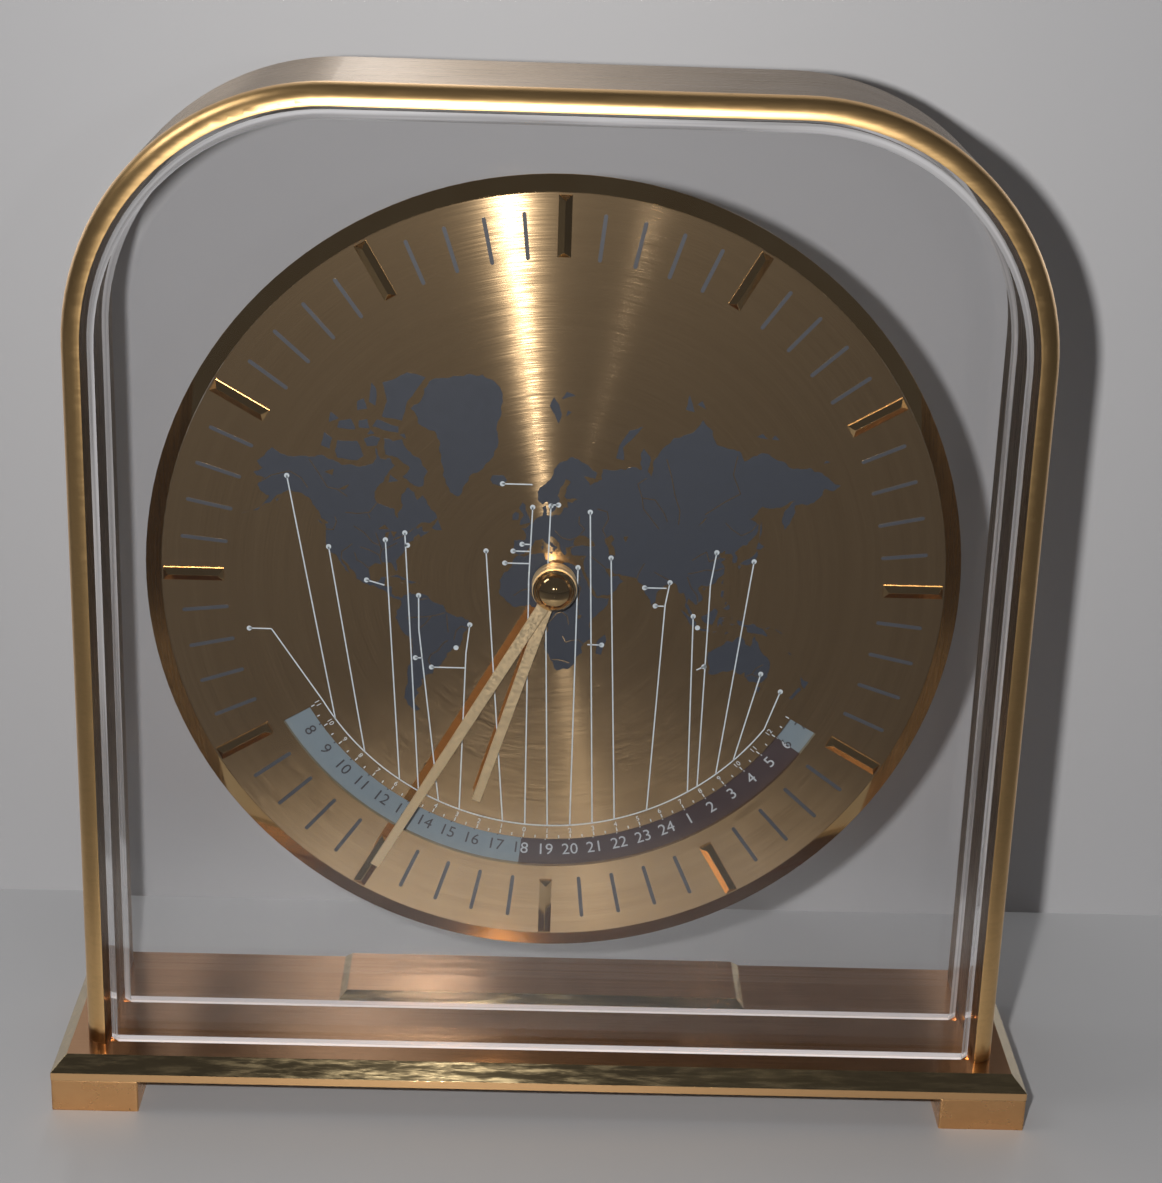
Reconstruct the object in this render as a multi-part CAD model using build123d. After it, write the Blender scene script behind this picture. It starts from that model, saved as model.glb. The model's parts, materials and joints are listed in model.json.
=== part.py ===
"""World-time desk clock: a brass arch on a footed base, two clear panes, a dial and its quartz movement.

Millimetres. +X is right, +Y is back, +Z is up. The origin is the middle of the footprint on the table.
Depths along Y are named front (lower Y) and back (higher Y).
"""

import os
from math import atan2, cos, hypot, radians, sin

from build123d import *

# Base plate and feet
base_side_overhang = 4.7
base_end_overhang = 5.5
base_edge = 1.3
base_bevel = 2.25
foot_width = 13.6
foot_space = 14.0
foot_height = 5.3
foot_edge_break = 0.3

# Arch band
band_depth = 29.0
band_wall = 3.1
band_corner_radius = 39.0
band_front_round = 2.8
band_rear_break = 0.4

# Clear panes
pane_thickness = 2.0
pane_side_gap = 0.7
pane_bevel = 1.2
pane_groove_depth = 0.8
pane_groove_gap = 0.05
front_pane_recess = 0.9
rear_pane_setback = 14.3

# Plate on the base behind the rear pane
plate_width = 67.0
plate_depth = 15.2
plate_height = 1.6
plate_bevel = 1.3
plate_pane_gap = 0.3

# Dial, bezel and pan
dial_radius = 60.2
dial_base_gap = 12.55
dial_side_gap = 6.45
dial_top_gap = 10.75
dial_thickness = 0.9
dial_hole_gap = 0.8
window_marker_gap = 2.4
window_width = 4.8
window_half_angle = 60.0
bezel_width = 2.5
bezel_depth = 1.3
bezel_rim = 0.3
bezel_gap = 0.05
pan_flange = 7.2
pan_wall = 0.7
pan_floor = 0.8
pan_depth = 2.1
pan_bore_gap = 0.2
ring_width = 4.0
ring_thickness = 0.8
ring_gap = 0.05

# Hour markers
marker_count = 12
marker_edge_gap = 0.3
marker_length = 9.2
marker_width = 2.0
marker_side = 0.35
marker_height = 1.0
marker_hip = 0.8

# Hands and hub
hand_thickness = 0.4
hour_hand_lift = 1.7
hour_hand_window_gap = 5.6
minute_hand_lift = 3.0
minute_hand_overlap = 3.8
hand_root_width = 1.9
hand_tip_width = 1.35
collet_radius = 3.45
hour_collet_length = 1.0
minute_collet_length = 0.75
cap_radius = 3.3
cap_skirt = 0.6
cap_dome = 2.6
hour_hand_angle = 197.5
minute_hand_angle = 210.0

# Coaxial centre
minute_arbor_radius = 0.75
minute_arbor_lead = 1.6
minute_arbor_rear_radius = 0.55
running_gap = 0.05
hour_pipe_radius = 1.6
bush_radius = 2.6
bush_pan_gap = 0.1

# World disc and its train
disc_pan_gap = 1.3
disc_thickness = 0.4
disc_dial_gap = 0.25
world_module = 0.4
world_pinion_teeth = 16
idler_wheel_teeth = 32
idler_pinion_teeth = 12
disc_wheel_teeth = 36
disc_wheel_width = 0.8
world_layer_gap = 0.15
world_gear_width = 0.65
idler_pinion_gap = 0.15
idler_pin_radius = 0.7
idler_angle = 225.0

# Movement housing
housing_gap = 0.2
housing_corner_radius = 4.0
housing_edge_round = 0.7
housing_wall = 1.2
housing_floor = 1.0
housing_rear_wall = 0.9
housing_split = 6.8
housing_depth = 13.9
boss_radius = 2.2
boss_wall_gap = 1.6
boss_height = 4.3
pillar_radius = 1.2
pillar_places = ((21.0, -4.0), (20.0, 20.0), (-6.5, 24.6), (-13.0, -6.0))

# Gear layers inside the movement, from its inner front face
gear_width = 0.7
motion_width = 0.9
hour_layer = 0.3
cannon_layer = 1.4
centre_layer = 2.6
third_layer = 3.6
fourth_layer = 4.6
intermediate_layer = 5.6
rotor_layer = 6.6
stator_layer = 6.8
bridge_layer = 8.5

# Motion works and setting
motion_module = 0.45
cannon_teeth = 10
minute_wheel_teeth = 30
minute_pinion_teeth = 8
hour_wheel_teeth = 32
minute_wheel_angle = 150.0
minute_pin_radius = 0.6
minute_pin_cover = 0.15
setting_teeth = 10
setting_angle = 180.0
setting_radius = 0.9
knob_radius = 5.5
knob_length = 2.7
knob_gap = 0.3
knob_flutes = 18
knob_flute_radius = 0.45

# Going train
centre_module = 0.3
centre_wheel_teeth = 60
third_pinion_teeth = 8
third_module = 0.28
third_wheel_teeth = 64
fourth_pinion_teeth = 8
fourth_module = 0.25
fourth_wheel_teeth = 60
intermediate_pinion_teeth = 10
rotor_module = 0.22
intermediate_wheel_teeth = 60
rotor_pinion_teeth = 12
third_angle = 30.0
fourth_angle = 107.3
intermediate_angle = 166.2
rotor_angle = 193.5
arbor_radius = 0.5
pivot_radius = 0.3
pivot_length = 0.6
rotor_radius = 2.8
rotor_length = 1.5

# Motor, bridge and circuit
stator_thickness = 1.0
stator_hole_gap = 0.7
stator_width = 10.5
stator_height = 10.9
stator_reach = 13.6
stator_arm = 3.0
stator_post_radius = 1.3
stator_post_offset = 7.6
core_width = 4.0
core_thickness = 1.0
winding_width = 5.4
winding_depth = 4.2
winding_end_gap = 0.1
winding_round = 0.8
bridge_thickness = 0.8
bridge_margin = 2.0
bridge_round = 2.0
board_width = 22.0
board_height = 14.0
board_thickness = 0.8
board_centre = (3.0, 11.0)
crystal_radius = 0.8
crystal_length = 6.0
crystal_centre = (4.0, 15.0)

# Battery bay
battery_radius = 6.0
battery_length = 30.2
battery_nub_radius = 2.0
battery_nub_length = 0.8
battery_floor_gap = 0.05
contact_thickness = 0.3
contact_size = 8.0
bay_wall = 0.8
bay_clearance = 1.1
bay_train_gap = 1.1

# Screws
screw_gap = 0.05
foot_screw = {"radius": 1.2, "head_radius": 2.6, "head_height": 1.6, "sink": 2.2, "grip": 2.4}
band_screw = {"radius": 0.8, "head_radius": 1.8, "head_height": 1.1, "sink": 1.4, "grip": 6.0}
band_screw_foot_gap = 2.6
pan_screw = {"radius": 0.9, "head_radius": 1.7, "head_height": 0.6, "sink": 0.0, "grip": 3.0}
bridge_screw = {"radius": 0.6, "head_radius": 1.1, "head_height": 0.6, "sink": 0.0, "grip": 2.0}
head_gap = 0.3
slot_width_share = 0.3
slot_depth_share = 0.5

# Tooth form: half thicknesses as shares of the tooth pitch at root, pitch circle and tip,
# and the tooth's height above and below the pitch circle as shares of the module
wheel_half_shares = (0.29, 0.225, 0.085)
wheel_height_shares = (-1.05, 0.0, 0.85)
pinion_half_shares = (0.185, 0.205, 0.085)
pinion_height_shares = (-1.15, 0.0, 0.8)

# Radii from the dial's centre outwards, and the case that they fill
cut_overrun = 1.0
marker_outer_radius = dial_radius - marker_edge_gap
marker_inner_radius = marker_outer_radius - marker_length
window_outer_radius = marker_inner_radius - window_marker_gap
window_inner_radius = window_outer_radius - window_width
hour_hand_length = window_inner_radius - hour_hand_window_gap
minute_hand_length = marker_inner_radius + minute_hand_overlap
dial_hole_radius = hour_pipe_radius + dial_hole_gap
bezel_outer_radius = dial_radius + bezel_gap + bezel_width
pan_outer_radius = dial_radius - pan_flange
ring_outer_radius = pan_outer_radius + ring_width
disc_radius = pan_outer_radius - pan_wall - disc_pan_gap
dial_rise = dial_base_gap + bezel_outer_radius
inner_width = 2 * (bezel_outer_radius + dial_side_gap)
inner_height = dial_rise + bezel_outer_radius + dial_top_gap
inner_radius = band_corner_radius - band_wall
band_width = inner_width + 2 * band_wall
band_height = inner_height + band_wall
base_width = band_width + 2 * base_side_overhang
base_depth = band_depth + 2 * base_end_overhang
foot_depth = (base_depth - foot_space) / 2
band_screw_spread = foot_space / 2 - band_screw_foot_gap

# Heights and depths that several pieces share
base_thickness = base_edge + base_bevel
base_top = foot_height + base_thickness
dial_height = base_top + dial_rise
band_front = -band_depth / 2
band_back = band_depth / 2
front_pane_front = band_front + front_pane_recess
rear_pane_front = band_front + rear_pane_setback
rear_pane_back = rear_pane_front + pane_thickness
dial_face = rear_pane_front - bezel_depth
dial_back = dial_face + dial_thickness
pan_floor_front = rear_pane_front + pan_depth
pan_back = pan_floor_front + pan_floor
disc_front = dial_back + disc_dial_gap
disc_back = disc_front + disc_thickness
disc_wheel_back = disc_back + disc_wheel_width
world_front = disc_wheel_back + world_layer_gap
world_back = world_front + world_gear_width
hour_hand_back = dial_face - hour_hand_lift
hour_hand_front = hour_hand_back - hand_thickness
minute_hand_back = dial_face - minute_hand_lift
minute_hand_front = minute_hand_back - hand_thickness
movement_inside = pan_back + housing_floor
movement_split = pan_back + housing_split
movement_back = pan_back + housing_depth
bridge_front = movement_inside + bridge_layer
bridge_back = bridge_front + bridge_thickness

# Movement outline, wide enough for its bridge above and its battery below
bridge_left = min(x for x, z in pillar_places) - bridge_margin
bridge_right = max(x for x, z in pillar_places) + bridge_margin
bridge_bottom = min(z for x, z in pillar_places) - bridge_margin
bridge_top = max(z for x, z in pillar_places) + bridge_margin
centre_wheel_radius = centre_wheel_teeth * centre_module / 2
battery_drop = centre_wheel_radius + bay_train_gap + bay_wall + bay_clearance + battery_radius
battery_reach = battery_drop + battery_radius + bay_clearance
housing_size = 2 * (max(battery_reach, bridge_top) + housing_gap + housing_wall)
boss_spread = housing_size / 2 - housing_wall - boss_radius - boss_wall_gap


def facing(depth, x=0, z=dial_height):
    """Plane at a depth, seen from the front: its x is right, its y is up and it faces the viewer."""
    return Plane(origin=(x, depth, z), x_dir=(1, 0, 0), z_dir=(0, -1, 0))


def slab(sketch, front, back, x=0, z=dial_height):
    """Solid of one outline between two depths."""
    return extrude(facing(back, x, z) * sketch, amount=back - front)


def rod(radius, front, back, x=0, z=dial_height):
    """Round bar along Y."""
    return slab(Circle(radius), front, back, x, z)


def tube(outer, inner, front, back, x=0, z=dial_height):
    """Round bar along Y with a bore."""
    return slab(Circle(outer) - Circle(inner), front, back, x, z)


def bar(width, height, front, back, x=0, z=dial_height):
    """Rectangular block between two depths."""
    return slab(Rectangle(width, height), front, back, x, z)


def dial_place(place):
    """X and Z of a point given relative to the dial's centre."""
    return place[0], dial_height + place[1]


def step(place, distance, angle):
    """Point at a distance and an angle, counter-clockwise from +X, from another point."""
    return place[0] + distance * cos(radians(angle)), place[1] + distance * sin(radians(angle))


def pitch_radius(teeth, module):
    return teeth * module / 2


def gear(teeth, module, phase, is_pinion=False):
    """Gear outline with one tooth centred on the phase angle."""
    half_shares = pinion_half_shares if is_pinion else wheel_half_shares
    height_shares = pinion_height_shares if is_pinion else wheel_height_shares
    radius = pitch_radius(teeth, module)
    pitch = 360.0 / teeth
    flank = [(radius + h * module, a * pitch) for h, a in zip(height_shares, half_shares)]
    points = []
    for tooth in range(teeth):
        centre = phase + tooth * pitch
        rising = [(r, centre - a) for r, a in flank]
        falling = [(r, centre + a) for r, a in reversed(flank)]
        points += [(r * cos(radians(a)), r * sin(radians(a))) for r, a in rising + falling]
    return make_face(Polyline(*points, close=True))


def meshed(phase, teeth, direction, next_teeth):
    """Phase of the gear that lies in a direction from a gear and meshes with it."""
    lead = phase - direction
    return direction + 180.0 - lead * teeth / next_teeth + 180.0 / next_teeth


def screw(size, seat, place, up):
    """Slotted screw along Z or Y: the head lies outside its seat and the shank runs into the grip.

    The place holds the two other coordinates, X and Y for a screw that points up, X and Z for one along Y.
    """
    head = Pos(0, 0, -size["head_height"] / 2) * Cylinder(size["head_radius"], size["head_height"])
    slot_depth = size["head_height"] * slot_depth_share
    slot = Box(
        2 * size["head_radius"] + cut_overrun,
        size["head_radius"] * slot_width_share,
        slot_depth,
        align=(Align.CENTER, Align.CENTER, Align.MIN),
    )
    head -= Pos(0, 0, -size["head_height"]) * slot
    shank = Cylinder(size["radius"], size["grip"], align=(Align.CENTER, Align.CENTER, Align.MIN))
    solid = head + shank
    if up:
        return Pos(place[0], place[1], seat) * solid
    return Plane(origin=(place[0], seat, place[1]), x_dir=(1, 0, 0), z_dir=(0, 1, 0)) * solid


# Case


def arch(width, height, radius):
    """Arch outline standing on the base top, with its origin at the dial's centre."""
    straight = Rectangle(width, height, align=(Align.CENTER, Align.MIN))
    top = straight.vertices().group_by(Axis.Y)[-1]
    return Pos(0, -dial_rise) * fillet(top, radius)


pane_width = inner_width - 2 * pane_side_gap
pane_height = inner_height - pane_side_gap
pane_radius = inner_radius - pane_side_gap
foot_x = (base_width - foot_width) / 2
foot_y = (base_depth - foot_depth) / 2
leg_x = (band_width - band_wall) / 2
foot_places = {
    "foot_front_left": (-foot_x, -foot_y),
    "foot_front_right": (foot_x, -foot_y),
    "foot_rear_left": (-foot_x, foot_y),
    "foot_rear_right": (foot_x, foot_y),
}
band_screw_places = [(side * leg_x, end * band_screw_spread) for side in (-1, 1) for end in (-1, 1)]


def base_plate():
    plate = Pos(0, 0, foot_height) * Box(
        base_width, base_depth, base_thickness, align=(Align.CENTER, Align.CENTER, Align.MIN)
    )
    plate = chamfer(plate.edges().group_by(Axis.Z)[-1], base_bevel)
    groove_thickness = pane_thickness + 2 * pane_groove_gap
    for front in (front_pane_front, rear_pane_front):
        plate -= Pos(0, front + pane_thickness / 2, base_top) * Box(
            pane_width + 2 * pane_groove_gap, groove_thickness, 2 * pane_groove_depth
        )
    for x, y in foot_places.values():
        plate -= Pos(x, y, foot_height) * Cylinder(foot_screw["radius"] + screw_gap, 2 * foot_screw["grip"])
    for x, y in band_screw_places:
        plate -= Pos(x, y, base_top) * Cylinder(band_screw["radius"] + screw_gap, 2 * base_thickness + cut_overrun)
        plate -= Pos(x, y, foot_height) * Cylinder(band_screw["head_radius"] + head_gap, 2 * band_screw["sink"])
    return plate


def foot(x, y):
    block = Pos(x, y, 0) * Box(foot_width, foot_depth, foot_height, align=(Align.CENTER, Align.CENTER, Align.MIN))
    block = fillet(block.edges().filter_by(Axis.Z), foot_edge_break)
    block -= Pos(x, y, 0) * Cylinder(foot_screw["radius"] + screw_gap, 2 * foot_height + cut_overrun)
    block -= Pos(x, y, 0) * Cylinder(foot_screw["head_radius"] + head_gap, 2 * foot_screw["sink"])
    return block


def foot_screws():
    size = dict(foot_screw)
    size["grip"] = foot_height - foot_screw["sink"] + foot_screw["grip"] - screw_gap
    return Compound([screw(size, foot_screw["sink"], place, True) for place in foot_places.values()])


def band_screws():
    size = dict(band_screw)
    size["grip"] = base_thickness - band_screw["sink"] + band_screw["grip"] - screw_gap
    seat = foot_height + band_screw["sink"]
    return Compound([screw(size, seat, place, True) for place in band_screw_places])


def is_outer_edge(edge, depth):
    """True for the edges of the band's outer outline at a depth."""
    middle = edge @ 0.5
    if abs(middle.Y - depth) > screw_gap:
        return False
    corner_x = band_width / 2 - band_corner_radius
    corner_z = base_top + band_height - band_corner_radius
    on_side = abs(abs(middle.X) - band_width / 2) < screw_gap
    on_top = abs(middle.Z - base_top - band_height) < screw_gap
    from_corner = hypot(abs(middle.X) - corner_x, middle.Z - corner_z)
    on_corner = abs(from_corner - band_corner_radius) < screw_gap and middle.Z > corner_z
    return on_side or on_top or on_corner


def arch_band():
    outline = arch(band_width, band_height, band_corner_radius) - arch(inner_width, inner_height, inner_radius)
    band = slab(outline, band_front, band_back)
    band = fillet([e for e in band.edges() if is_outer_edge(e, band_front)], band_front_round)
    band = chamfer([e for e in band.edges() if is_outer_edge(e, band_back)], band_rear_break)
    for x, y in band_screw_places:
        band -= Pos(x, y, base_top) * Cylinder(band_screw["radius"] + screw_gap, 2 * band_screw["grip"])
    return band


def pane(front):
    """Arched pane with a bevelled front edge and a tongue that stands in the base's groove."""
    outline = arch(pane_width, pane_height, pane_radius)
    plate = slab(outline, front, front + pane_thickness)
    edges = plate.edges().group_by(Axis.Y)[0]
    plate = chamfer([e for e in edges if (e @ 0.5).Z > base_top + pane_bevel], pane_bevel)
    tongue_width = pane_width - 2 * pane_bevel
    return plate + bar(tongue_width, pane_groove_depth, front, front + pane_thickness, 0, base_top - pane_groove_depth / 2)


def rear_pane():
    bore = rod(pan_outer_radius + pan_bore_gap, rear_pane_front - cut_overrun, rear_pane_back + cut_overrun)
    return pane(rear_pane_front) - bore


def base_plaque():
    front = rear_pane_back + plate_pane_gap
    plaque = Pos(0, front + plate_depth / 2, base_top) * Box(
        plate_width, plate_depth, plate_height, align=(Align.CENTER, Align.CENTER, Align.MIN)
    )
    return chamfer(plaque.edges().group_by(Axis.Z)[-1], plate_bevel)


# Dial side


def bezel():
    inner = dial_radius + bezel_gap
    profile = Polyline(
        (inner, dial_face),
        (bezel_outer_radius, rear_pane_front - bezel_rim),
        (bezel_outer_radius, rear_pane_front),
        (inner, rear_pane_front),
        close=True,
    )
    return Pos(0, 0, dial_height) * revolve(make_face(profile), Axis.Y)


def dial_plate():
    outline = Circle(dial_radius) - Circle(dial_hole_radius)
    start = 270.0 - window_half_angle
    end = 270.0 + window_half_angle
    outer = CenterArc((0, 0), window_outer_radius, start, end - start)
    inner = CenterArc((0, 0), window_inner_radius, start, end - start)
    sides = [Line(inner @ 0, outer @ 0), Line(inner @ 1, outer @ 1)]
    window = make_face([outer, inner] + sides)
    return slab(outline - window, dial_face, dial_back)


def hour_marker(number):
    """Roof-shaped baton with hipped ends, standing on the dial at one hour."""
    across = marker_width / 2
    along = marker_length / 2
    section = Polyline(
        (-across, 0), (-across, marker_side), (0, marker_height), (across, marker_side), (across, 0), close=True
    )
    side = Polyline(
        (-along, 0),
        (-along, marker_side),
        (marker_hip - along, marker_height),
        (along - marker_hip, marker_height),
        (along, marker_side),
        (along, 0),
        close=True,
    )
    roof = extrude(Plane.YZ.offset(-along) * make_face(section), amount=marker_length)
    hips = extrude(Plane.XZ.offset(-across) * make_face(side), amount=marker_width)
    baton = Pos((marker_inner_radius + marker_outer_radius) / 2, 0, 0) * (roof & hips)
    return facing(dial_face) * (Rot(0, 0, number * 360.0 / marker_count) * baton)


def hour_markers():
    return Compound([hour_marker(number) for number in range(marker_count)])


def dial_pan():
    inner = pan_outer_radius - pan_wall
    flange = tube(dial_radius, inner, dial_back, rear_pane_front)
    wall = tube(pan_outer_radius, inner, dial_back, pan_back)
    floor = tube(pan_outer_radius, bush_radius + bush_pan_gap, pan_floor_front, pan_back)
    pan = flange + wall + floor
    pan -= rod(idler_pin_radius, pan_floor_front - cut_overrun, pan_back + cut_overrun, *dial_place(idler_place))
    for place in boss_places:
        pan -= rod(pan_screw["radius"] + screw_gap, dial_back, pan_back + cut_overrun, *dial_place(place))
    return pan


def retaining_ring():
    return tube(ring_outer_radius, pan_outer_radius + ring_gap, rear_pane_back, rear_pane_back + ring_thickness)


def hand(length, angle, front, back, collet_back, bore):
    """Tapered baton hand with a round collet, pointing at a clock angle."""
    root = hand_root_width / 2
    tip = hand_tip_width / 2
    blade = make_face(Polyline((-root, 0), (-tip, length), (tip, length), (root, 0), close=True))
    outline = Rot(0, 0, -angle) * blade + Circle(collet_radius)
    return slab(outline - Circle(bore), front, back) + tube(collet_radius, bore, back, collet_back)


def hub_cap():
    """Domed cap over the end of the minute arbor."""
    seat = minute_hand_front
    rim = seat - cap_skirt
    top = rim - cap_dome
    dome_radius = (cap_radius**2 + cap_dome**2) / (2 * cap_dome)
    half_turn = atan2(cap_radius, dome_radius - cap_dome) / 2
    shoulder = (dome_radius * sin(half_turn), top + dome_radius * (1 - cos(half_turn)))
    outline = [
        Line((0, seat), (cap_radius, seat)),
        Line((cap_radius, seat), (cap_radius, rim)),
        ThreePointArc((cap_radius, rim), shoulder, (0, top)),
        Line((0, top), (0, seat)),
    ]
    cap = Pos(0, 0, dial_height) * revolve(make_face(outline), Axis.Y)
    return cap - rod(minute_arbor_radius, seat - minute_arbor_lead, seat + cut_overrun)


# World-time train, with angles counter-clockwise from +X as seen from the front
centre = (0, 0)
world_distance = pitch_radius(world_pinion_teeth + idler_wheel_teeth, world_module)
idler_place = step(centre, world_distance, idler_angle)
world_pinion_phase = 0.0
idler_wheel_phase = meshed(world_pinion_phase, world_pinion_teeth, idler_angle, idler_wheel_teeth)
idler_pinion_phase = 0.0
disc_wheel_phase = meshed(idler_pinion_phase, idler_pinion_teeth, idler_angle + 180.0, disc_wheel_teeth)


def world_pinion():
    outline = gear(world_pinion_teeth, world_module, world_pinion_phase, True) - Circle(hour_pipe_radius)
    return slab(outline, world_front, world_back)


def world_idler():
    place = dial_place(idler_place)
    bore = Circle(idler_pin_radius + running_gap)
    pinion = gear(idler_pinion_teeth, world_module, idler_pinion_phase, True) - bore
    wheel = gear(idler_wheel_teeth, world_module, idler_wheel_phase) - bore
    return slab(pinion, disc_back + idler_pinion_gap, world_front, *place) + slab(wheel, world_front, world_back, *place)


def idler_pin():
    return rod(idler_pin_radius, disc_back + idler_pinion_gap, pan_back, *dial_place(idler_place))


def disc_wheel():
    bore = Circle(hour_pipe_radius + running_gap)
    return slab(gear(disc_wheel_teeth, world_module, disc_wheel_phase) - bore, disc_back, disc_wheel_back)


def world_disc():
    return tube(disc_radius, hour_pipe_radius + running_gap, disc_front, disc_back)


# Movement train
motion_distance = pitch_radius(cannon_teeth + minute_wheel_teeth, motion_module)
minute_wheel_place = step(centre, motion_distance, minute_wheel_angle)
setting_distance = pitch_radius(minute_wheel_teeth + setting_teeth, motion_module)
setting_place = step(minute_wheel_place, setting_distance, setting_angle)
third_place = step(centre, pitch_radius(centre_wheel_teeth + third_pinion_teeth, centre_module), third_angle)
fourth_place = step(third_place, pitch_radius(third_wheel_teeth + fourth_pinion_teeth, third_module), fourth_angle)
intermediate_distance = pitch_radius(fourth_wheel_teeth + intermediate_pinion_teeth, fourth_module)
intermediate_place = step(fourth_place, intermediate_distance, intermediate_angle)
rotor_distance = pitch_radius(intermediate_wheel_teeth + rotor_pinion_teeth, rotor_module)
rotor_place = step(intermediate_place, rotor_distance, rotor_angle)
cannon_phase = 0.0
minute_wheel_phase = meshed(cannon_phase, cannon_teeth, minute_wheel_angle, minute_wheel_teeth)
minute_pinion_phase = 0.0
hour_wheel_phase = meshed(minute_pinion_phase, minute_pinion_teeth, minute_wheel_angle + 180.0, hour_wheel_teeth)
setting_phase = meshed(minute_wheel_phase, minute_wheel_teeth, setting_angle, setting_teeth)
centre_wheel_phase = 0.0
third_pinion_phase = meshed(centre_wheel_phase, centre_wheel_teeth, third_angle, third_pinion_teeth)
third_wheel_phase = 0.0
fourth_pinion_phase = meshed(third_wheel_phase, third_wheel_teeth, fourth_angle, fourth_pinion_teeth)
fourth_wheel_phase = 0.0
intermediate_pinion_phase = meshed(
    fourth_wheel_phase, fourth_wheel_teeth, intermediate_angle, intermediate_pinion_teeth
)
intermediate_wheel_phase = 0.0
rotor_pinion_phase = meshed(intermediate_wheel_phase, intermediate_wheel_teeth, rotor_angle, rotor_pinion_teeth)


def layer(offset, width):
    """Front and back depth of a gear layer in the movement."""
    front = movement_inside + offset
    return front, front + width


def minute_arbor():
    cannon_front, cannon_back = layer(cannon_layer, motion_width)
    front = minute_hand_front - minute_arbor_lead
    centre_front, centre_back = layer(centre_layer, gear_width)
    arbor = rod(minute_arbor_radius, front, centre_back)
    arbor += slab(gear(cannon_teeth, motion_module, cannon_phase, True), cannon_front, cannon_back)
    return arbor + rod(minute_arbor_rear_radius, centre_back, bridge_back - running_gap)


def hour_wheel():
    front, back = layer(hour_layer, motion_width)
    bore = Circle(minute_arbor_radius + running_gap)
    wheel = slab(gear(hour_wheel_teeth, motion_module, hour_wheel_phase) - bore, front, back)
    return wheel + slab(Circle(hour_pipe_radius) - bore, hour_hand_front, front)


def minute_wheel():
    place = dial_place(minute_wheel_place)
    bore = Circle(minute_pin_radius + running_gap)
    hour_front, hour_back = layer(hour_layer, motion_width)
    wheel_front, wheel_back = layer(cannon_layer, motion_width)
    pinion = slab(gear(minute_pinion_teeth, motion_module, minute_pinion_phase, True) - bore, hour_front, wheel_front, *place)
    return pinion + slab(gear(minute_wheel_teeth, motion_module, minute_wheel_phase) - bore, wheel_front, wheel_back, *place)


def minute_wheel_pin():
    wheel_back = layer(cannon_layer, motion_width)[1]
    return rod(minute_pin_radius, pan_back, wheel_back + minute_pin_cover, *dial_place(minute_wheel_place))


def pivoted(place, solids):
    """Train arbor between its two pivots, joined with what it carries."""
    spot = dial_place(place)
    arbor = rod(arbor_radius, movement_inside + running_gap, bridge_front - running_gap, *spot)
    arbor += rod(pivot_radius, movement_inside - pivot_length, bridge_front + pivot_length, *spot)
    for solid in solids:
        arbor += solid
    return arbor


def geared(teeth, module, phase, place, offset, is_pinion=False):
    """One gear of a train arbor in its layer."""
    return slab(gear(teeth, module, phase, is_pinion), *layer(offset, gear_width), *dial_place(place))


def centre_wheel():
    bore = Circle(minute_arbor_radius + running_gap)
    return slab(
        gear(centre_wheel_teeth, centre_module, centre_wheel_phase) - bore, *layer(centre_layer, gear_width)
    )


def third_wheel():
    wheel = geared(third_wheel_teeth, third_module, third_wheel_phase, third_place, third_layer)
    pinion = geared(third_pinion_teeth, centre_module, third_pinion_phase, third_place, centre_layer, True)
    return pivoted(third_place, [wheel, pinion])


def fourth_wheel():
    wheel = geared(fourth_wheel_teeth, fourth_module, fourth_wheel_phase, fourth_place, fourth_layer)
    pinion = geared(fourth_pinion_teeth, third_module, fourth_pinion_phase, fourth_place, third_layer, True)
    return pivoted(fourth_place, [wheel, pinion])


def intermediate_wheel():
    place = intermediate_place
    wheel = geared(intermediate_wheel_teeth, rotor_module, intermediate_wheel_phase, place, intermediate_layer)
    pinion = geared(intermediate_pinion_teeth, fourth_module, intermediate_pinion_phase, place, fourth_layer, True)
    return pivoted(place, [wheel, pinion])


def rotor():
    pinion = geared(rotor_pinion_teeth, rotor_module, rotor_pinion_phase, rotor_place, intermediate_layer, True)
    magnet = rod(rotor_radius, *layer(rotor_layer, rotor_length), *dial_place(rotor_place))
    return pivoted(rotor_place, [pinion, magnet])


def setting_arbor():
    place = dial_place(setting_place)
    pinion_front, pinion_back = layer(cannon_layer, motion_width)
    arbor = rod(setting_radius, pinion_front, movement_back + knob_gap + knob_length, *place)
    arbor += slab(gear(setting_teeth, motion_module, setting_phase, True), pinion_front, pinion_back, *place)
    return arbor + rod(pivot_radius, movement_inside - pivot_length, pinion_front, *place)


def setting_knob():
    front = movement_back + knob_gap
    outline = Circle(knob_radius) - Circle(setting_radius)
    flutes = PolarLocations(knob_radius, knob_flutes) * Circle(knob_flute_radius)
    return slab(outline - flutes, front, front + knob_length, *dial_place(setting_place))


# Movement case and motor
boss_places = [(x * boss_spread, z * boss_spread) for x in (-1, 1) for z in (-1, 1)]
stator_post_places = [
    (rotor_place[0] - stator_post_offset, rotor_place[1] + side * (stator_height - stator_arm) / 2) for side in (-1, 1)
]
core_x = rotor_place[0] - stator_reach + core_width / 2
bay_height = 2 * battery_radius + 2 * bay_clearance
bay_end = battery_length / 2 + contact_thickness
train_places = [third_place, fourth_place, intermediate_place, rotor_place]


def housing_outline(shrink):
    size = housing_size - 2 * shrink
    return RectangleRounded(size, size, housing_corner_radius - shrink)


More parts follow.
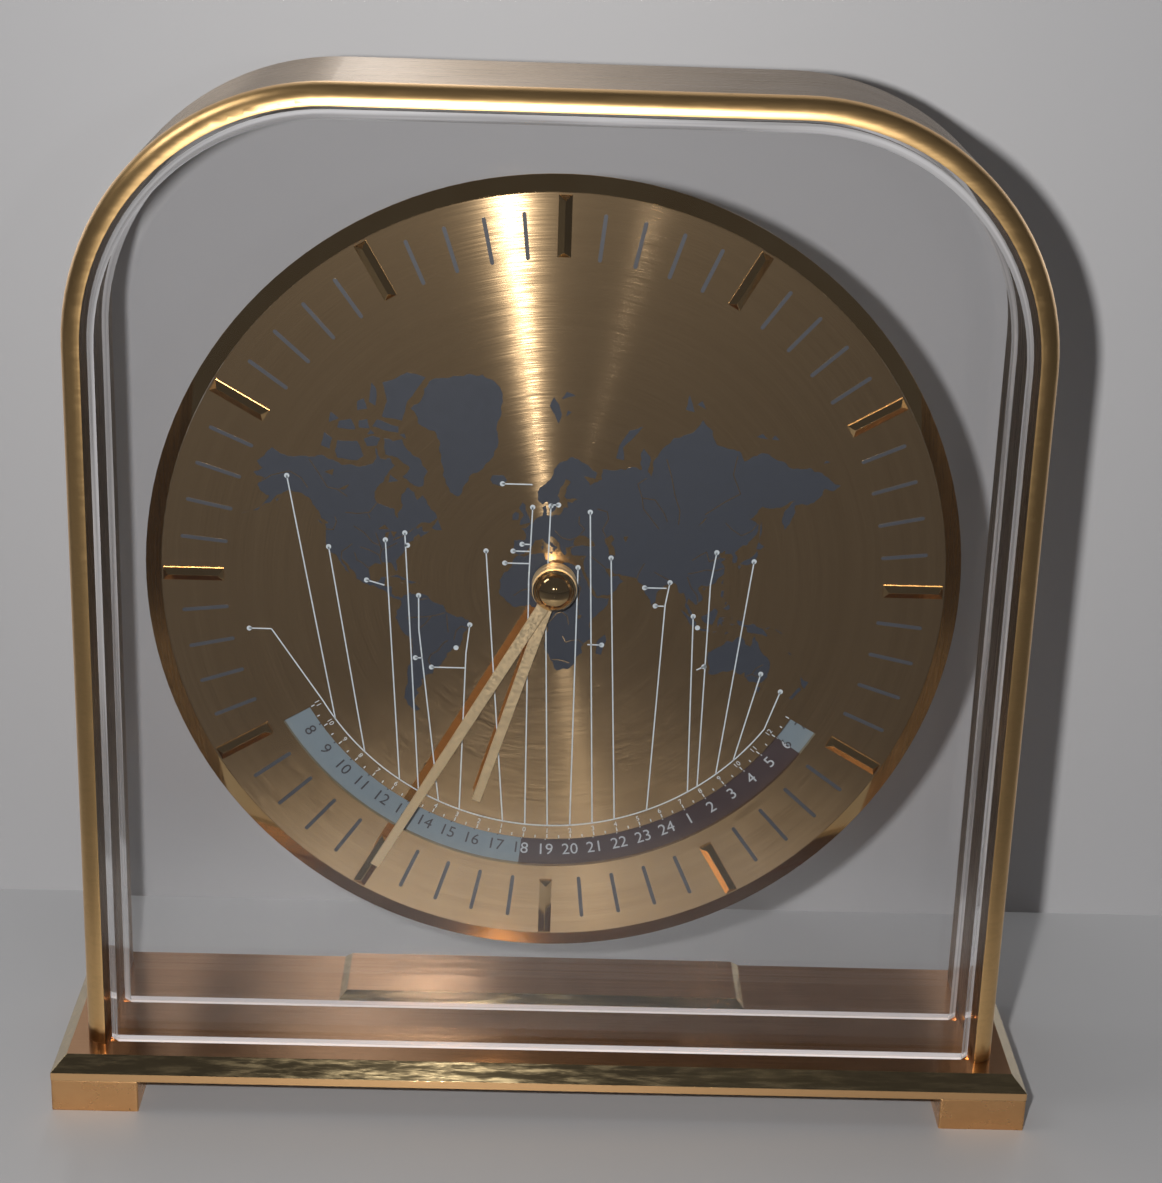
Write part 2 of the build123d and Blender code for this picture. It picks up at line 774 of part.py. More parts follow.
def movement_front_housing():
    shell = slab(housing_outline(0), pan_back, movement_split)
    shell -= slab(housing_outline(housing_wall), movement_inside, movement_split + cut_overrun)
    shell += rod(bush_radius, pan_floor_front, movement_inside + running_gap)
    for place in boss_places:
        shell += rod(boss_radius, movement_inside, movement_inside + boss_height, *dial_place(place))
        shell -= rod(
            pan_screw["radius"] + screw_gap, pan_back - cut_overrun, pan_back + pan_screw["grip"], *dial_place(place)
        )
    for place in pillar_places:
        shell += rod(pillar_radius, movement_inside, bridge_front, *dial_place(place))
        hole_front = bridge_front - bridge_screw["grip"]
        shell -= rod(bridge_screw["radius"] + screw_gap, hole_front, bridge_front + cut_overrun, *dial_place(place))
    for place in stator_post_places:
        shell += rod(stator_post_radius, movement_inside, movement_inside + stator_layer, *dial_place(place))
    partition_z = bay_height / 2 + bay_wall / 2 - battery_drop
    inside = housing_size - 2 * housing_wall
    shell += bar(inside, bay_wall, movement_inside, movement_split, *dial_place((0, partition_z)))
    for side in (-1, 1):
        end = (side * (bay_end + bay_wall / 2), -battery_drop)
        shell += bar(bay_wall, bay_height, movement_inside, movement_split, *dial_place(end))
    shell -= rod(hour_pipe_radius + running_gap, pan_floor_front - cut_overrun, movement_inside + cut_overrun)
    for place in train_places + [setting_place]:
        hole = pivot_radius + running_gap
        shell -= rod(hole, movement_inside - pivot_length - running_gap, movement_inside + cut_overrun, *dial_place(place))
    shell -= rod(minute_pin_radius, pan_back - cut_overrun, movement_inside + cut_overrun, *dial_place(minute_wheel_place))
    return shell


def movement_rear_housing():
    shell = slab(housing_outline(0), movement_split, movement_back)
    shell = fillet(shell.edges().group_by(Axis.Y)[-1], housing_edge_round)
    shell -= slab(housing_outline(housing_wall), movement_split - cut_overrun, movement_back - housing_rear_wall)
    bay = (2 * bay_end, bay_height)
    bay_back = movement_back + cut_overrun
    shell -= bar(*bay, movement_back - housing_rear_wall - cut_overrun, bay_back, *dial_place((0, -battery_drop)))
    shell -= rod(
        setting_radius + running_gap,
        movement_back - housing_rear_wall - cut_overrun,
        movement_back + cut_overrun,
        *dial_place(setting_place),
    )
    return shell


def movement_screws():
    size = dict(pan_screw)
    size["grip"] = pan_floor + pan_screw["grip"] - screw_gap
    return Compound([screw(size, pan_floor_front, dial_place(place), False) for place in boss_places])


def stator():
    front, back = layer(stator_layer, stator_thickness)
    x, z = rotor_place
    body = Pos(x, z) * Rectangle(stator_width, stator_height)
    for side in (-1, 1):
        arm_z = z + side * (stator_height - stator_arm) / 2
        body += Pos(x - stator_reach / 2, arm_z) * Rectangle(stator_reach, stator_arm)
    body -= Pos(x, z) * Circle(rotor_radius + stator_hole_gap)
    return slab(body, front, back)


def coil_core():
    back = layer(stator_layer, stator_thickness)[0]
    return bar(core_width, stator_height, back - core_thickness, back, *dial_place((core_x, rotor_place[1])))


def coil_winding():
    middle = movement_inside + stator_layer - core_thickness / 2
    height = stator_height - 2 * stator_arm - 2 * winding_end_gap
    spot = dial_place((core_x, rotor_place[1]))
    block = bar(winding_width, height, middle - winding_depth / 2, middle + winding_depth / 2, *spot)
    block = fillet(block.edges().filter_by(Axis.Z), winding_round)
    core = bar(core_width, stator_height, middle - core_thickness / 2, middle + core_thickness / 2, *spot)
    return block - core


def bridge_plate():
    width = bridge_right - bridge_left
    height = bridge_top - bridge_bottom
    spot = ((bridge_right + bridge_left) / 2, (bridge_top + bridge_bottom) / 2)
    plate = slab(RectangleRounded(width, height, bridge_round), bridge_front, bridge_back, *dial_place(spot))
    reach = (bridge_front - cut_overrun, bridge_back + cut_overrun)
    plate -= rod(minute_arbor_rear_radius + running_gap, *reach)
    for place in train_places:
        plate -= rod(pivot_radius + running_gap, *reach, *dial_place(place))
    for place in pillar_places:
        plate -= rod(bridge_screw["radius"] + screw_gap, *reach, *dial_place(place))
    return plate


def bridge_screws():
    size = dict(bridge_screw)
    size["grip"] = bridge_thickness + bridge_screw["grip"] - screw_gap
    seats = []
    for place in pillar_places:
        x, z = dial_place(place)
        turned = Plane(origin=(x, bridge_back, z), x_dir=(1, 0, 0), z_dir=(0, -1, 0))
        seats.append(turned * screw(size, 0, (0, 0), True))
    return Compound(seats)


def circuit_board():
    return bar(board_width, board_height, bridge_back, bridge_back + board_thickness, *dial_place(board_centre))


def crystal():
    x, z = dial_place(crystal_centre)
    centre_y = bridge_back + board_thickness + crystal_radius
    return Pos(x, centre_y, z) * (Rot(0, 90, 0) * Cylinder(crystal_radius, crystal_length))


def battery():
    z = dial_height - battery_drop
    y = movement_inside + battery_floor_gap + battery_radius
    can_length = battery_length - battery_nub_length
    can = Pos(-battery_length / 2, y, z) * (
        Rot(0, 90, 0) * Cylinder(battery_radius, can_length, align=(Align.CENTER, Align.CENTER, Align.MIN))
    )
    nub = Pos(-battery_length / 2, y, z) * (
        Rot(0, 90, 0) * Cylinder(battery_nub_radius, battery_length, align=(Align.CENTER, Align.CENTER, Align.MIN))
    )
    return can + nub


def battery_contact(side):
    y = movement_inside + battery_floor_gap + battery_radius
    x = side * (battery_length / 2 + contact_thickness / 2)
    return Pos(x, y, dial_height - battery_drop) * Box(contact_thickness, contact_size, contact_size)


minute_collet_back = minute_hand_back + minute_collet_length
hour_collet_back = hour_hand_back + hour_collet_length
nodes = {
    "base_plate": base_plate(),
    "foot_screws": foot_screws(),
    "arch_band": arch_band(),
    "band_screws": band_screws(),
    "front_pane": pane(front_pane_front),
    "rear_pane": rear_pane(),
    "base_plaque": base_plaque(),
    "bezel": bezel(),
    "dial_plate": dial_plate(),
    "hour_markers": hour_markers(),
    "dial_pan": dial_pan(),
    "retaining_ring": retaining_ring(),
    "hour_hand": hand(
        hour_hand_length, hour_hand_angle, hour_hand_front, hour_hand_back, hour_collet_back, hour_pipe_radius
    ),
    "minute_hand": hand(
        minute_hand_length,
        minute_hand_angle,
        minute_hand_front,
        minute_hand_back,
        minute_collet_back,
        minute_arbor_radius,
    ),
    "hub_cap": hub_cap(),
    "world_disc": world_disc(),
    "disc_wheel": disc_wheel(),
    "world_idler": world_idler(),
    "idler_pin": idler_pin(),
    "world_pinion": world_pinion(),
    "hour_wheel": hour_wheel(),
    "minute_arbor": minute_arbor(),
    "minute_wheel": minute_wheel(),
    "minute_wheel_pin": minute_wheel_pin(),
    "centre_wheel": centre_wheel(),
    "third_wheel": third_wheel(),
    "fourth_wheel": fourth_wheel(),
    "intermediate_wheel": intermediate_wheel(),
    "rotor": rotor(),
    "setting_arbor": setting_arbor(),
    "setting_knob": setting_knob(),
    "movement_front_housing": movement_front_housing(),
    "movement_rear_housing": movement_rear_housing(),
    "movement_screws": movement_screws(),
    "stator": stator(),
    "coil_core": coil_core(),
    "coil_winding": coil_winding(),
    "bridge_plate": bridge_plate(),
    "bridge_screws": bridge_screws(),
    "circuit_board": circuit_board(),
    "crystal": crystal(),
    "battery": battery(),
    "battery_contact_positive": battery_contact(1),
    "battery_contact_negative": battery_contact(-1),
}
for name, (x, y) in foot_places.items():
    nodes[name] = foot(x, y)

os.makedirs("parts", exist_ok=True)
for name, solid in nodes.items():
    export_step(solid, f"parts/{name}.step")
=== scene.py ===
"""Looks of the world-time desk clock: brass case, clear panes, printed dial and studio light."""

import json
import math
import random

import bmesh
import bpy
from mathutils import Matrix, Vector
from mathutils.geometry import intersect_line_sphere_2d, tessellate_polygon


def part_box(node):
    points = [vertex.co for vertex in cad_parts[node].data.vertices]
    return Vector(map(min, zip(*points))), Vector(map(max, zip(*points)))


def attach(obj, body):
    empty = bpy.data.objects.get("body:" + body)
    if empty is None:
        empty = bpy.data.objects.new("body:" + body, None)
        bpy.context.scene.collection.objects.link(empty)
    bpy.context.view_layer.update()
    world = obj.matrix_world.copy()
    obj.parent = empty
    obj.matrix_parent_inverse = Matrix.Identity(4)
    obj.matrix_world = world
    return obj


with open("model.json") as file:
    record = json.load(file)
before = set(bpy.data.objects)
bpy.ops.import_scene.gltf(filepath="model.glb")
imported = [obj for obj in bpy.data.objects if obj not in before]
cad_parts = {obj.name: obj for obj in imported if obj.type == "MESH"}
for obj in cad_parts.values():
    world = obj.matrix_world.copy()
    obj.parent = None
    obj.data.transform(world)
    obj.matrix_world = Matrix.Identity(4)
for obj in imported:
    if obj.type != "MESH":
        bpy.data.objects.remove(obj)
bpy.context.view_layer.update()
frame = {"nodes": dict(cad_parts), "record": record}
MM = 0.001
random.seed(7)

dial_low, dial_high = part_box("dial_plate")
dial_front = dial_low.y
dial_centre_z = (dial_low.z + dial_high.z) / 2
disc_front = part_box("world_disc")[0].y
base_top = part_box("base_plate")[1].z
dial_plate = frame["nodes"]["dial_plate"]
dial_points = [dial_plate.matrix_world @ vertex.co for vertex in dial_plate.data.vertices]
dial_hole_radius = min(math.hypot(p.x, p.z - dial_centre_z) for p in dial_points) / MM
hole_steps = 32
print_thickness = 0.02 * MM

# Shader helpers
edge_samples = 4
quarter_turn = 0.25
white = (1.0, 1.0, 1.0)
along_x = (1.0, 0.0, 0.0)
along_y = (0.0, 1.0, 0.0)
along_z = (0.0, 0.0, 1.0)


def new_material(name):
    """Material with its principled shader, and the tree that holds it."""
    material = bpy.data.materials.new(name)
    material.use_nodes = True
    tree = material.node_tree
    return material, tree, tree.nodes["Principled BSDF"]


def feed(tree, node, inputs):
    """Sets a node's inputs, by name or place, each to a value or to another node's output."""
    for name, value in inputs.items():
        if isinstance(value, bpy.types.NodeSocket):
            tree.links.new(value, node.inputs[name])
        else:
            node.inputs[name].default_value = value


def add(tree, kind, inputs, **settings):
    """New node with its settings and inputs."""
    node = tree.nodes.new(kind)
    for key, value in settings.items():
        setattr(node, key, value)
    feed(tree, node, inputs)
    return node


def math_node(tree, operation, *operands):
    """One arithmetic step. Each operand is a socket or a number."""
    return add(tree, "ShaderNodeMath", dict(enumerate(operands)), operation=operation).outputs[0]


def vector_node(tree, operation, *operands):
    """One step with vectors. Each operand is a socket or a vector."""
    return add(tree, "ShaderNodeVectorMath", dict(enumerate(operands)), operation=operation)


def object_point(tree):
    return add(tree, "ShaderNodeTexCoord", {}).outputs["Object"]


def surface_normal(tree):
    return add(tree, "ShaderNodeNewGeometry", {}).outputs["Normal"]


def along_axis(tree, vector, axis):
    """One coordinate of a vector."""
    return add(tree, "ShaderNodeSeparateXYZ", {0: vector}).outputs[axis]


def noise(tree, vector, scale, detail=3.0, roughness=0.55):
    """Noise in cycles a metre, with one scale for all axes or one for each."""
    scales = scale if isinstance(scale, tuple) else (scale, scale, scale)
    mapping = add(tree, "ShaderNodeMapping", {"Vector": vector, "Scale": scales})
    inputs = {"Vector": mapping.outputs[0], "Scale": 1.0, "Detail": detail, "Roughness": roughness}
    return add(tree, "ShaderNodeTexNoise", inputs).outputs["Fac"]


def spread(tree, value, low, high, start=0.3, end=0.7):
    """Value stretched from the range of start to end to the range of low to high."""
    inputs = {"Value": value, "From Min": start, "From Max": end, "To Min": low, "To Max": high}
    return add(tree, "ShaderNodeMapRange", inputs).outputs[0]


def uneven(tree, texture, roughness, least_share, most_share):
    """Roughness that a texture varies between two shares of it."""
    return spread(tree, texture, roughness * least_share, roughness * most_share)


def scaled(colour, share):
    """Colour made darker or lighter, with no channel over one."""
    return tuple(min(1.0, c * share) for c in colour)


def opaque(colour):
    """Colour with its fourth channel, or a socket as it is."""
    return (*colour, 1.0) if isinstance(colour, tuple) else colour


def blend_colours(tree, factor, first, second):
    """Colour between two others, each of them a socket or a colour."""
    inputs = {"Factor": factor, 6: opaque(first), 7: opaque(second)}
    return add(tree, "ShaderNodeMix", inputs, data_type="RGBA").outputs[2]


def mottled(tree, texture, light, dark):
    """Colour that a texture varies between two tones."""
    return blend_colours(tree, spread(tree, texture, 0.0, 1.0), light, dark)


def coat(tree, shader, colour, roughness, metallic):
    """Gives a shader its colour, its roughness and its share of metal."""
    feed(tree, shader, {"Base Color": colour, "Roughness": roughness, "Metallic": metallic})


def mix_shaders(tree, factor, first, second):
    """Blend of two shaders. The factor is a socket or a number."""
    return add(tree, "ShaderNodeMixShader", {0: factor, 1: first.outputs[0], 2: second.outputs[0]})


def show(tree, shader):
    """Makes a shader the surface of its material."""
    feed(tree, tree.nodes["Material Output"], {"Surface": shader.outputs[0]})


def soften_edges(tree, shader, radius, height, strength, distance):
    """Rounded edges in the shading, with a fine relief on top of them."""
    bevel = add(tree, "ShaderNodeBevel", {"Radius": radius}, samples=edge_samples)
    inputs = {"Height": height, "Strength": strength, "Distance": distance, "Normal": bevel.outputs[0]}
    feed(tree, shader, {"Normal": add(tree, "ShaderNodeBump", inputs).outputs[0]})


def worn_edges(tree, radius):
    """Mask that rises to one along sharp edges, where handling wears the finish."""
    sharp_likeness = 0.75
    flat_likeness = 0.97
    rounded = add(tree, "ShaderNodeBevel", {"Radius": radius}, samples=edge_samples)
    likeness = vector_node(tree, "DOT_PRODUCT", rounded.outputs[0], surface_normal(tree))
    return spread(tree, likeness.outputs["Value"], 1.0, 0.0, sharp_likeness, flat_likeness)


def slope_mask(tree, axis, middle, reach):
    """Mask of the faces whose normal leans along an axis by a cosine near the middle one."""
    lean = math_node(tree, "ABSOLUTE", along_axis(tree, surface_normal(tree), axis))
    return math_node(tree, "COMPARE", lean, middle, reach)


def grain_direction(tree, shader, axis):
    """Brushing along an axis or, where the axis is None, along the bend of the arch."""
    if axis:
        direction = add(tree, "ShaderNodeCombineXYZ", dict(enumerate(axis)))
    else:
        direction = vector_node(tree, "CROSS_PRODUCT", surface_normal(tree), along_y)
    feed(tree, shader, {"Tangent": direction.outputs[0], "Anisotropic Rotation": quarter_turn})


def brushed_colour(tree, lines, tarnish, light, dark):
    """Tone between light and dark, from brush lines and the tarnish over them."""
    line_share = 0.6
    tarnish_share = 0.5
    tarnish_tone = math_node(tree, "MULTIPLY", tarnish, tarnish_share)
    tone = math_node(tree, "MULTIPLY_ADD", lines, line_share, tarnish_tone)
    return blend_colours(tree, spread(tree, tone, 0.0, 1.0, 0.35, 0.75), light, dark)


# Metals


def brushed_metal(name, light, dark, roughness, line_scale, grain_axis, anisotropy, edge=0.12 * MM):
    """Metal with brush lines along one axis, faint tarnish and rounded edges."""
    tarnish_scale = 60.0
    material, tree, shader = new_material(name)
    point = object_point(tree)
    lines = noise(tree, point, line_scale, detail=2.0)
    tarnish = noise(tree, point, tarnish_scale, detail=4.0)
    colour = brushed_colour(tree, lines, tarnish, light, dark)
    coat(tree, shader, colour, uneven(tree, lines, roughness, 0.8, 1.25), metallic=1.0)
    feed(tree, shader, {"Anisotropic": anisotropy})
    grain_direction(tree, shader, grain_axis)
    soften_edges(tree, shader, edge, lines, strength=0.12, distance=0.04 * MM)
    return material


def foot_stain(tree, point, tarnish, stain_height):
    """Mask of the blotches that rise from the base."""
    low = spread(tree, along_axis(tree, point, "Z"), 1.0, 0.0, base_top, base_top + stain_height)
    blotch = math_node(tree, "ADD", low, spread(tree, tarnish, -0.8, 0.6))
    return spread(tree, blotch, 0.0, 0.85, 0.5, 0.8)


def case_metal(
    name,
    light,
    dark,
    roughness,
    line_scale,
    grain_axis,
    polish,
    scuff_share,
    smoothest,
    dullest,
    polish_grain,
    polished_slope,
    end_colour=None,
    stain_height=0.0,
):
    """Brushed case metal with polished slopes, tarnish, scuffs and worn edges.

    Faces to the front and back can have a satin colour of their own, and the foot can be stained.
    """
    tarnish_scale = 70.0
    scuff_scale = (120.0, 900.0, 900.0)
    wear_radius = 0.2 * MM
    edge_radius = 0.15 * MM
    stain_brown = (0.16, 0.07, 0.025)
    material, tree, shader = new_material(name)
    point = object_point(tree)
    polished = slope_mask(tree, *polished_slope)
    lines = noise(tree, point, line_scale, detail=3.0, roughness=0.65)
    tarnish = noise(tree, point, tarnish_scale, detail=4.0)
    scuffs = noise(tree, point, scuff_scale, detail=5.0, roughness=0.75)
    brushed = brushed_colour(tree, lines, tarnish, light, dark)
    scuffed = spread(tree, scuffs, 0.0, 1.0, 0.46, 0.6)
    bright = blend_colours(tree, scuffed, polish, scaled(polish, scuff_share))
    colour = blend_colours(tree, polished, brushed, bright)
    grain = spread(tree, polished, 1.0, polish_grain, 0.0, 1.0)
    if end_colour:
        satin = slope_mask(tree, "Y", 1.0, 0.1)
        colour = blend_colours(tree, satin, colour, end_colour)
        grain = math_node(tree, "MULTIPLY", grain, math_node(tree, "SUBTRACT", 1.0, satin))
    worn = math_node(tree, "MULTIPLY", worn_edges(tree, wear_radius), spread(tree, scuffs, 0.0, 0.7))
    colour = blend_colours(tree, worn, colour, scaled(polish, 1.1))
    if stain_height:
        stain = foot_stain(tree, point, tarnish, stain_height)
        colour = blend_colours(tree, stain, colour, stain_brown)
    rough = uneven(tree, lines, roughness, 0.8, 1.25)
    smooth = spread(tree, scuffs, smoothest, dullest, 0.44, 0.62)
    gloss = add(tree, "ShaderNodeMix", {0: polished, 2: rough, 3: smooth})
    coat(tree, shader, colour, gloss.outputs[0], metallic=1.0)
    feed(tree, shader, {"Anisotropic": grain})
    grain_direction(tree, shader, grain_axis)
    relief = math_node(tree, "MULTIPLY", lines, math_node(tree, "SUBTRACT", 1.0, polished))
    soften_edges(tree, shader, edge_radius, relief, strength=0.25, distance=0.04 * MM)
    return material


def polished_metal(name, light, dark, roughness, edge=0.1 * MM):
    """Polished metal with hairline scratches and a faint film."""
    film_scale = 90.0
    scratch_scale = (2600.0, 300.0, 900.0)
    material, tree, shader = new_material(name)
    point = object_point(tree)
    film = noise(tree, point, film_scale, detail=4.0)
    scratches = noise(tree, point, scratch_scale, detail=3.0, roughness=0.7)
    colour = mottled(tree, film, light, dark)
    coat(tree, shader, colour, uneven(tree, scratches, roughness, 0.6, 1.6), metallic=1.0)
    soften_edges(tree, shader, edge, scratches, strength=0.03, distance=0.02 * MM)
    return material


def pitted_metal(name, light, dark, roughness):
    """Satin metal with worn edges and small dark pits."""
    film_scale = (120.0, 120.0, 200.0)
    pit_scale = 500.0
    pit_brown = (0.09, 0.045, 0.02)
    wear_radius = 0.4 * MM
    edge_radius = 0.3 * MM
    material, tree, shader = new_material(name)
    point = object_point(tree)
    film = noise(tree, point, film_scale, detail=5.0, roughness=0.6)
    pits = spread(tree, noise(tree, point, pit_scale, detail=2.0), 0.0, 1.0, 0.70, 0.74)
    worn = math_node(tree, "MULTIPLY", worn_edges(tree, wear_radius), film)
    colour = blend_colours(tree, worn, mottled(tree, film, light, dark), scaled(light, 1.2))
    colour = blend_colours(tree, pits, colour, pit_brown)
    coat(tree, shader, colour, uneven(tree, film, roughness, 0.75, 1.3), metallic=1.0)
    hollow = math_node(tree, "SUBTRACT", film, pits)
    soften_edges(tree, shader, edge_radius, hollow, strength=0.10, distance=0.06 * MM)
    return material


def from_dial_centre(tree):
    """Sockets for a point's place across, up, out from and round the dial's axis."""
    parts = add(tree, "ShaderNodeSeparateXYZ", {0: object_point(tree)}).outputs
    across = parts["X"]
    up = math_node(tree, "SUBTRACT", parts["Z"], dial_centre_z)
    squares = math_node(tree, "MULTIPLY_ADD", up, up, math_node(tree, "MULTIPLY", across, across))
    return across, up, math_node(tree, "SQRT", squares), math_node(tree, "ARCTAN2", across, up)


def furrow_normal(tree, across, up, radius, ring, tilt):
    """Normal of the walls of furrows, which lean in and out from the dial's axis."""
    furrow_scale = (30000.0, 3000.0, 1.0)
    furrows = noise(tree, ring, furrow_scale, detail=2.0, roughness=0.7)
    lean = math_node(tree, "DIVIDE", spread(tree, furrows, -tilt, tilt, 0.2, 0.8), radius)
    lean_across = math_node(tree, "MULTIPLY", across, lean)
    lean_up = math_node(tree, "MULTIPLY", up, lean)
    outward = add(tree, "ShaderNodeCombineXYZ", {0: lean_across, 2: lean_up})
    leaning = vector_node(tree, "ADD", surface_normal(tree), outward.outputs[0])
    return vector_node(tree, "NORMALIZE", leaning.outputs[0]).outputs[0]


def turned_metal(name, light, dark, roughness, anisotropy, furrow_tilt, haze_share):
    """Metal with fine circular furrows about the dial's axis, and a faint haze."""
    line_scale = (5200.0, 900.0, 1.0)
    line_share = 0.7
    band_scale = (420.0, 60.0, 1.0)
    band_share = 0.5
    metres_a_radian = 0.002
    haze_roughness = 0.5
    material, tree, shader = new_material(name)
    across, up, radius, angle = from_dial_centre(tree)
    arc = math_node(tree, "MULTIPLY", angle, metres_a_radian)
    ring = add(tree, "ShaderNodeCombineXYZ", {0: radius, 1: arc}).outputs[0]
    lines = noise(tree, ring, line_scale, detail=3.0, roughness=0.7)
    bands = noise(tree, ring, band_scale, detail=2.0)
    line_tone = math_node(tree, "MULTIPLY", lines, line_share)
    tone = math_node(tree, "MULTIPLY_ADD", bands, band_share, line_tone)
    colour = blend_colours(tree, spread(tree, tone, 0.0, 1.0, 0.3, 0.8), light, dark)
    coat(tree, shader, colour, uneven(tree, lines, roughness, 0.85, 1.2), metallic=1.0)
    tangent_z = math_node(tree, "MULTIPLY", across, -1.0)
    tangent = add(tree, "ShaderNodeCombineXYZ", {0: up, 2: tangent_z}).outputs[0]
    feed(tree, shader, {"Tangent": tangent, "Anisotropic Rotation": quarter_turn})
    normal = furrow_normal(tree, across, up, radius, ring, furrow_tilt)
    feed(tree, shader, {"Anisotropic": anisotropy, "Normal": normal})
    haze = add(tree, "ShaderNodeBsdfGlossy", {"Color": opaque(light), "Roughness": haze_roughness})
    show(tree, mix_shaders(tree, haze_share, shader, haze))
    return material


# Plastic, ink and the clear panes


def moulded_plastic(name, colour, roughness, grain_scale=2500.0, relief=0.15):
    """Moulded plastic with a fine spark-eroded grain and uneven gloss."""
    broad_scale = 120.0
    edge_radius = 0.15 * MM
    material, tree, shader = new_material(name)
    point = object_point(tree)
    fine = noise(tree, point, grain_scale, detail=2.0)
    broad = noise(tree, point, broad_scale, detail=3.0)
    tone = mottled(tree, broad, colour, scaled(colour, 0.82))
    coat(tree, shader, tone, uneven(tree, broad, roughness, 0.85, 1.15), metallic=0.0)
    soften_edges(tree, shader, edge_radius, fine, relief, distance=0.05 * MM)
    return material


def ink(name, colour, roughness=0.55):
    """Screen-printed ink with a slightly uneven film."""
    film_scale = 900.0
    material, tree, shader = new_material(name)
    film = noise(tree, object_point(tree), film_scale, detail=3.0)
    tone = mottled(tree, film, colour, scaled(colour, 0.86))
    coat(tree, shader, tone, uneven(tree, film, roughness, 0.9, 1.1), metallic=0.0)
    return material


def clear_pane(name):
    """Clear pane with an uneven surface, a pale cemented foot, and saw-cut rims and bevels in streaky
    pale grey that is partly a frosted edge and partly a painted reflection of light caught in the pane's
    edges.

    Scattered light passes it straight.
    """
    # Pale grey of the rims and bevels: partly a frosted saw-cut edge, partly a painted reflection of
    # light caught in the pane's edges
    rim_and_reflection_grey = (0.70, 0.70, 0.73)
    tint = (0.90, 0.90, 0.905)
    refraction = 1.49
    swell_scale = (30.0, 30.0, 22.0)
    saw_and_reflection_scale = (15.0, 900.0, 15.0)
    cement_solid = base_top + 0.35 * MM
    cement_end = base_top + 0.5 * MM
    material, tree, shader = new_material(name)
    point = object_point(tree)
    feed(tree, shader, {"Base Color": opaque(white), "Roughness": 0.0})
    feed(tree, shader, {"Transmission Weight": 1.0, "IOR": refraction})
    swell = noise(tree, point, swell_scale, detail=2.0)
    bump = add(tree, "ShaderNodeBump", {"Height": swell, "Strength": 0.05, "Distance": 0.5 * MM})
    feed(tree, shader, {"Normal": bump.outputs[0]})
    # Streaky pale share on rims and bevels: frosted saw marks plus painted reflection of the light that
    # the edges send back
    saw_and_reflection_lines = noise(tree, point, saw_and_reflection_scale, detail=2.0, roughness=0.6)
    frost_and_reflection_share = spread(tree, saw_and_reflection_lines, 0.2, 0.7, 0.35, 0.65)
    sawn_and_reflection = math_node(tree, "MULTIPLY", slope_mask(tree, "Y", 0.0, 0.85), frost_and_reflection_share)
    cement = spread(tree, along_axis(tree, point, "Z"), 0.9, 0.0, cement_solid, cement_end)
    pale = add(tree, "ShaderNodeBsdfDiffuse", {"Color": opaque(rim_and_reflection_grey)})
    surface = mix_shaders(tree, math_node(tree, "MAXIMUM", sawn_and_reflection, cement), shader, pale)
    path = add(tree, "ShaderNodeLightPath", {}).outputs
    blurred = math_node(tree, "SUBTRACT", path["Is Glossy Ray"], path["Is Singular Ray"])
    scattered = math_node(tree, "MAXIMUM", path["Is Diffuse Ray"], blurred)
    straight = math_node(tree, "MAXIMUM", path["Is Shadow Ray"], scattered)
    through = add(tree, "ShaderNodeBsdfTransparent", {"Color": opaque(tint)})
    show(tree, mix_shaders(tree, straight, surface, through))
    return material


# World disc print: three days round the disc, each half day and half night
hours_per_day = 24
days_per_turn = 3
hours_per_turn = days_per_turn * hours_per_day
ring_hour_step = 360.0 / hours_per_turn
ring_dusk_angle = 185.3
ring_dusk_hour = 18


def disc_print(name, day, night):
    """Print that changes colour at each dawn and dusk round the disc."""
    grain_scale = 700.0
    material, tree, shader = new_material(name)
    angle = from_dial_centre(tree)[3]
    days = math_node(tree, "MULTIPLY", angle, days_per_turn / (2 * math.pi))
    before_dusk = math_node(tree, "SUBTRACT", days, ring_dusk_angle / 360.0 * days_per_turn)
    is_day = math_node(tree, "LESS_THAN", math_node(tree, "FRACT", before_dusk), 0.5)
    grain = noise(tree, object_point(tree), grain_scale, detail=3.0)
    day_tone = blend_colours(tree, grain, day, scaled(day, 0.88))
    night_tone = blend_colours(tree, grain, night, scaled(night, 0.85))
    colour = blend_colours(tree, is_day, night_tone, day_tone)
    coat(tree, shader, colour, spread(tree, grain, 0.45, 0.6), metallic=0.0)
    return material


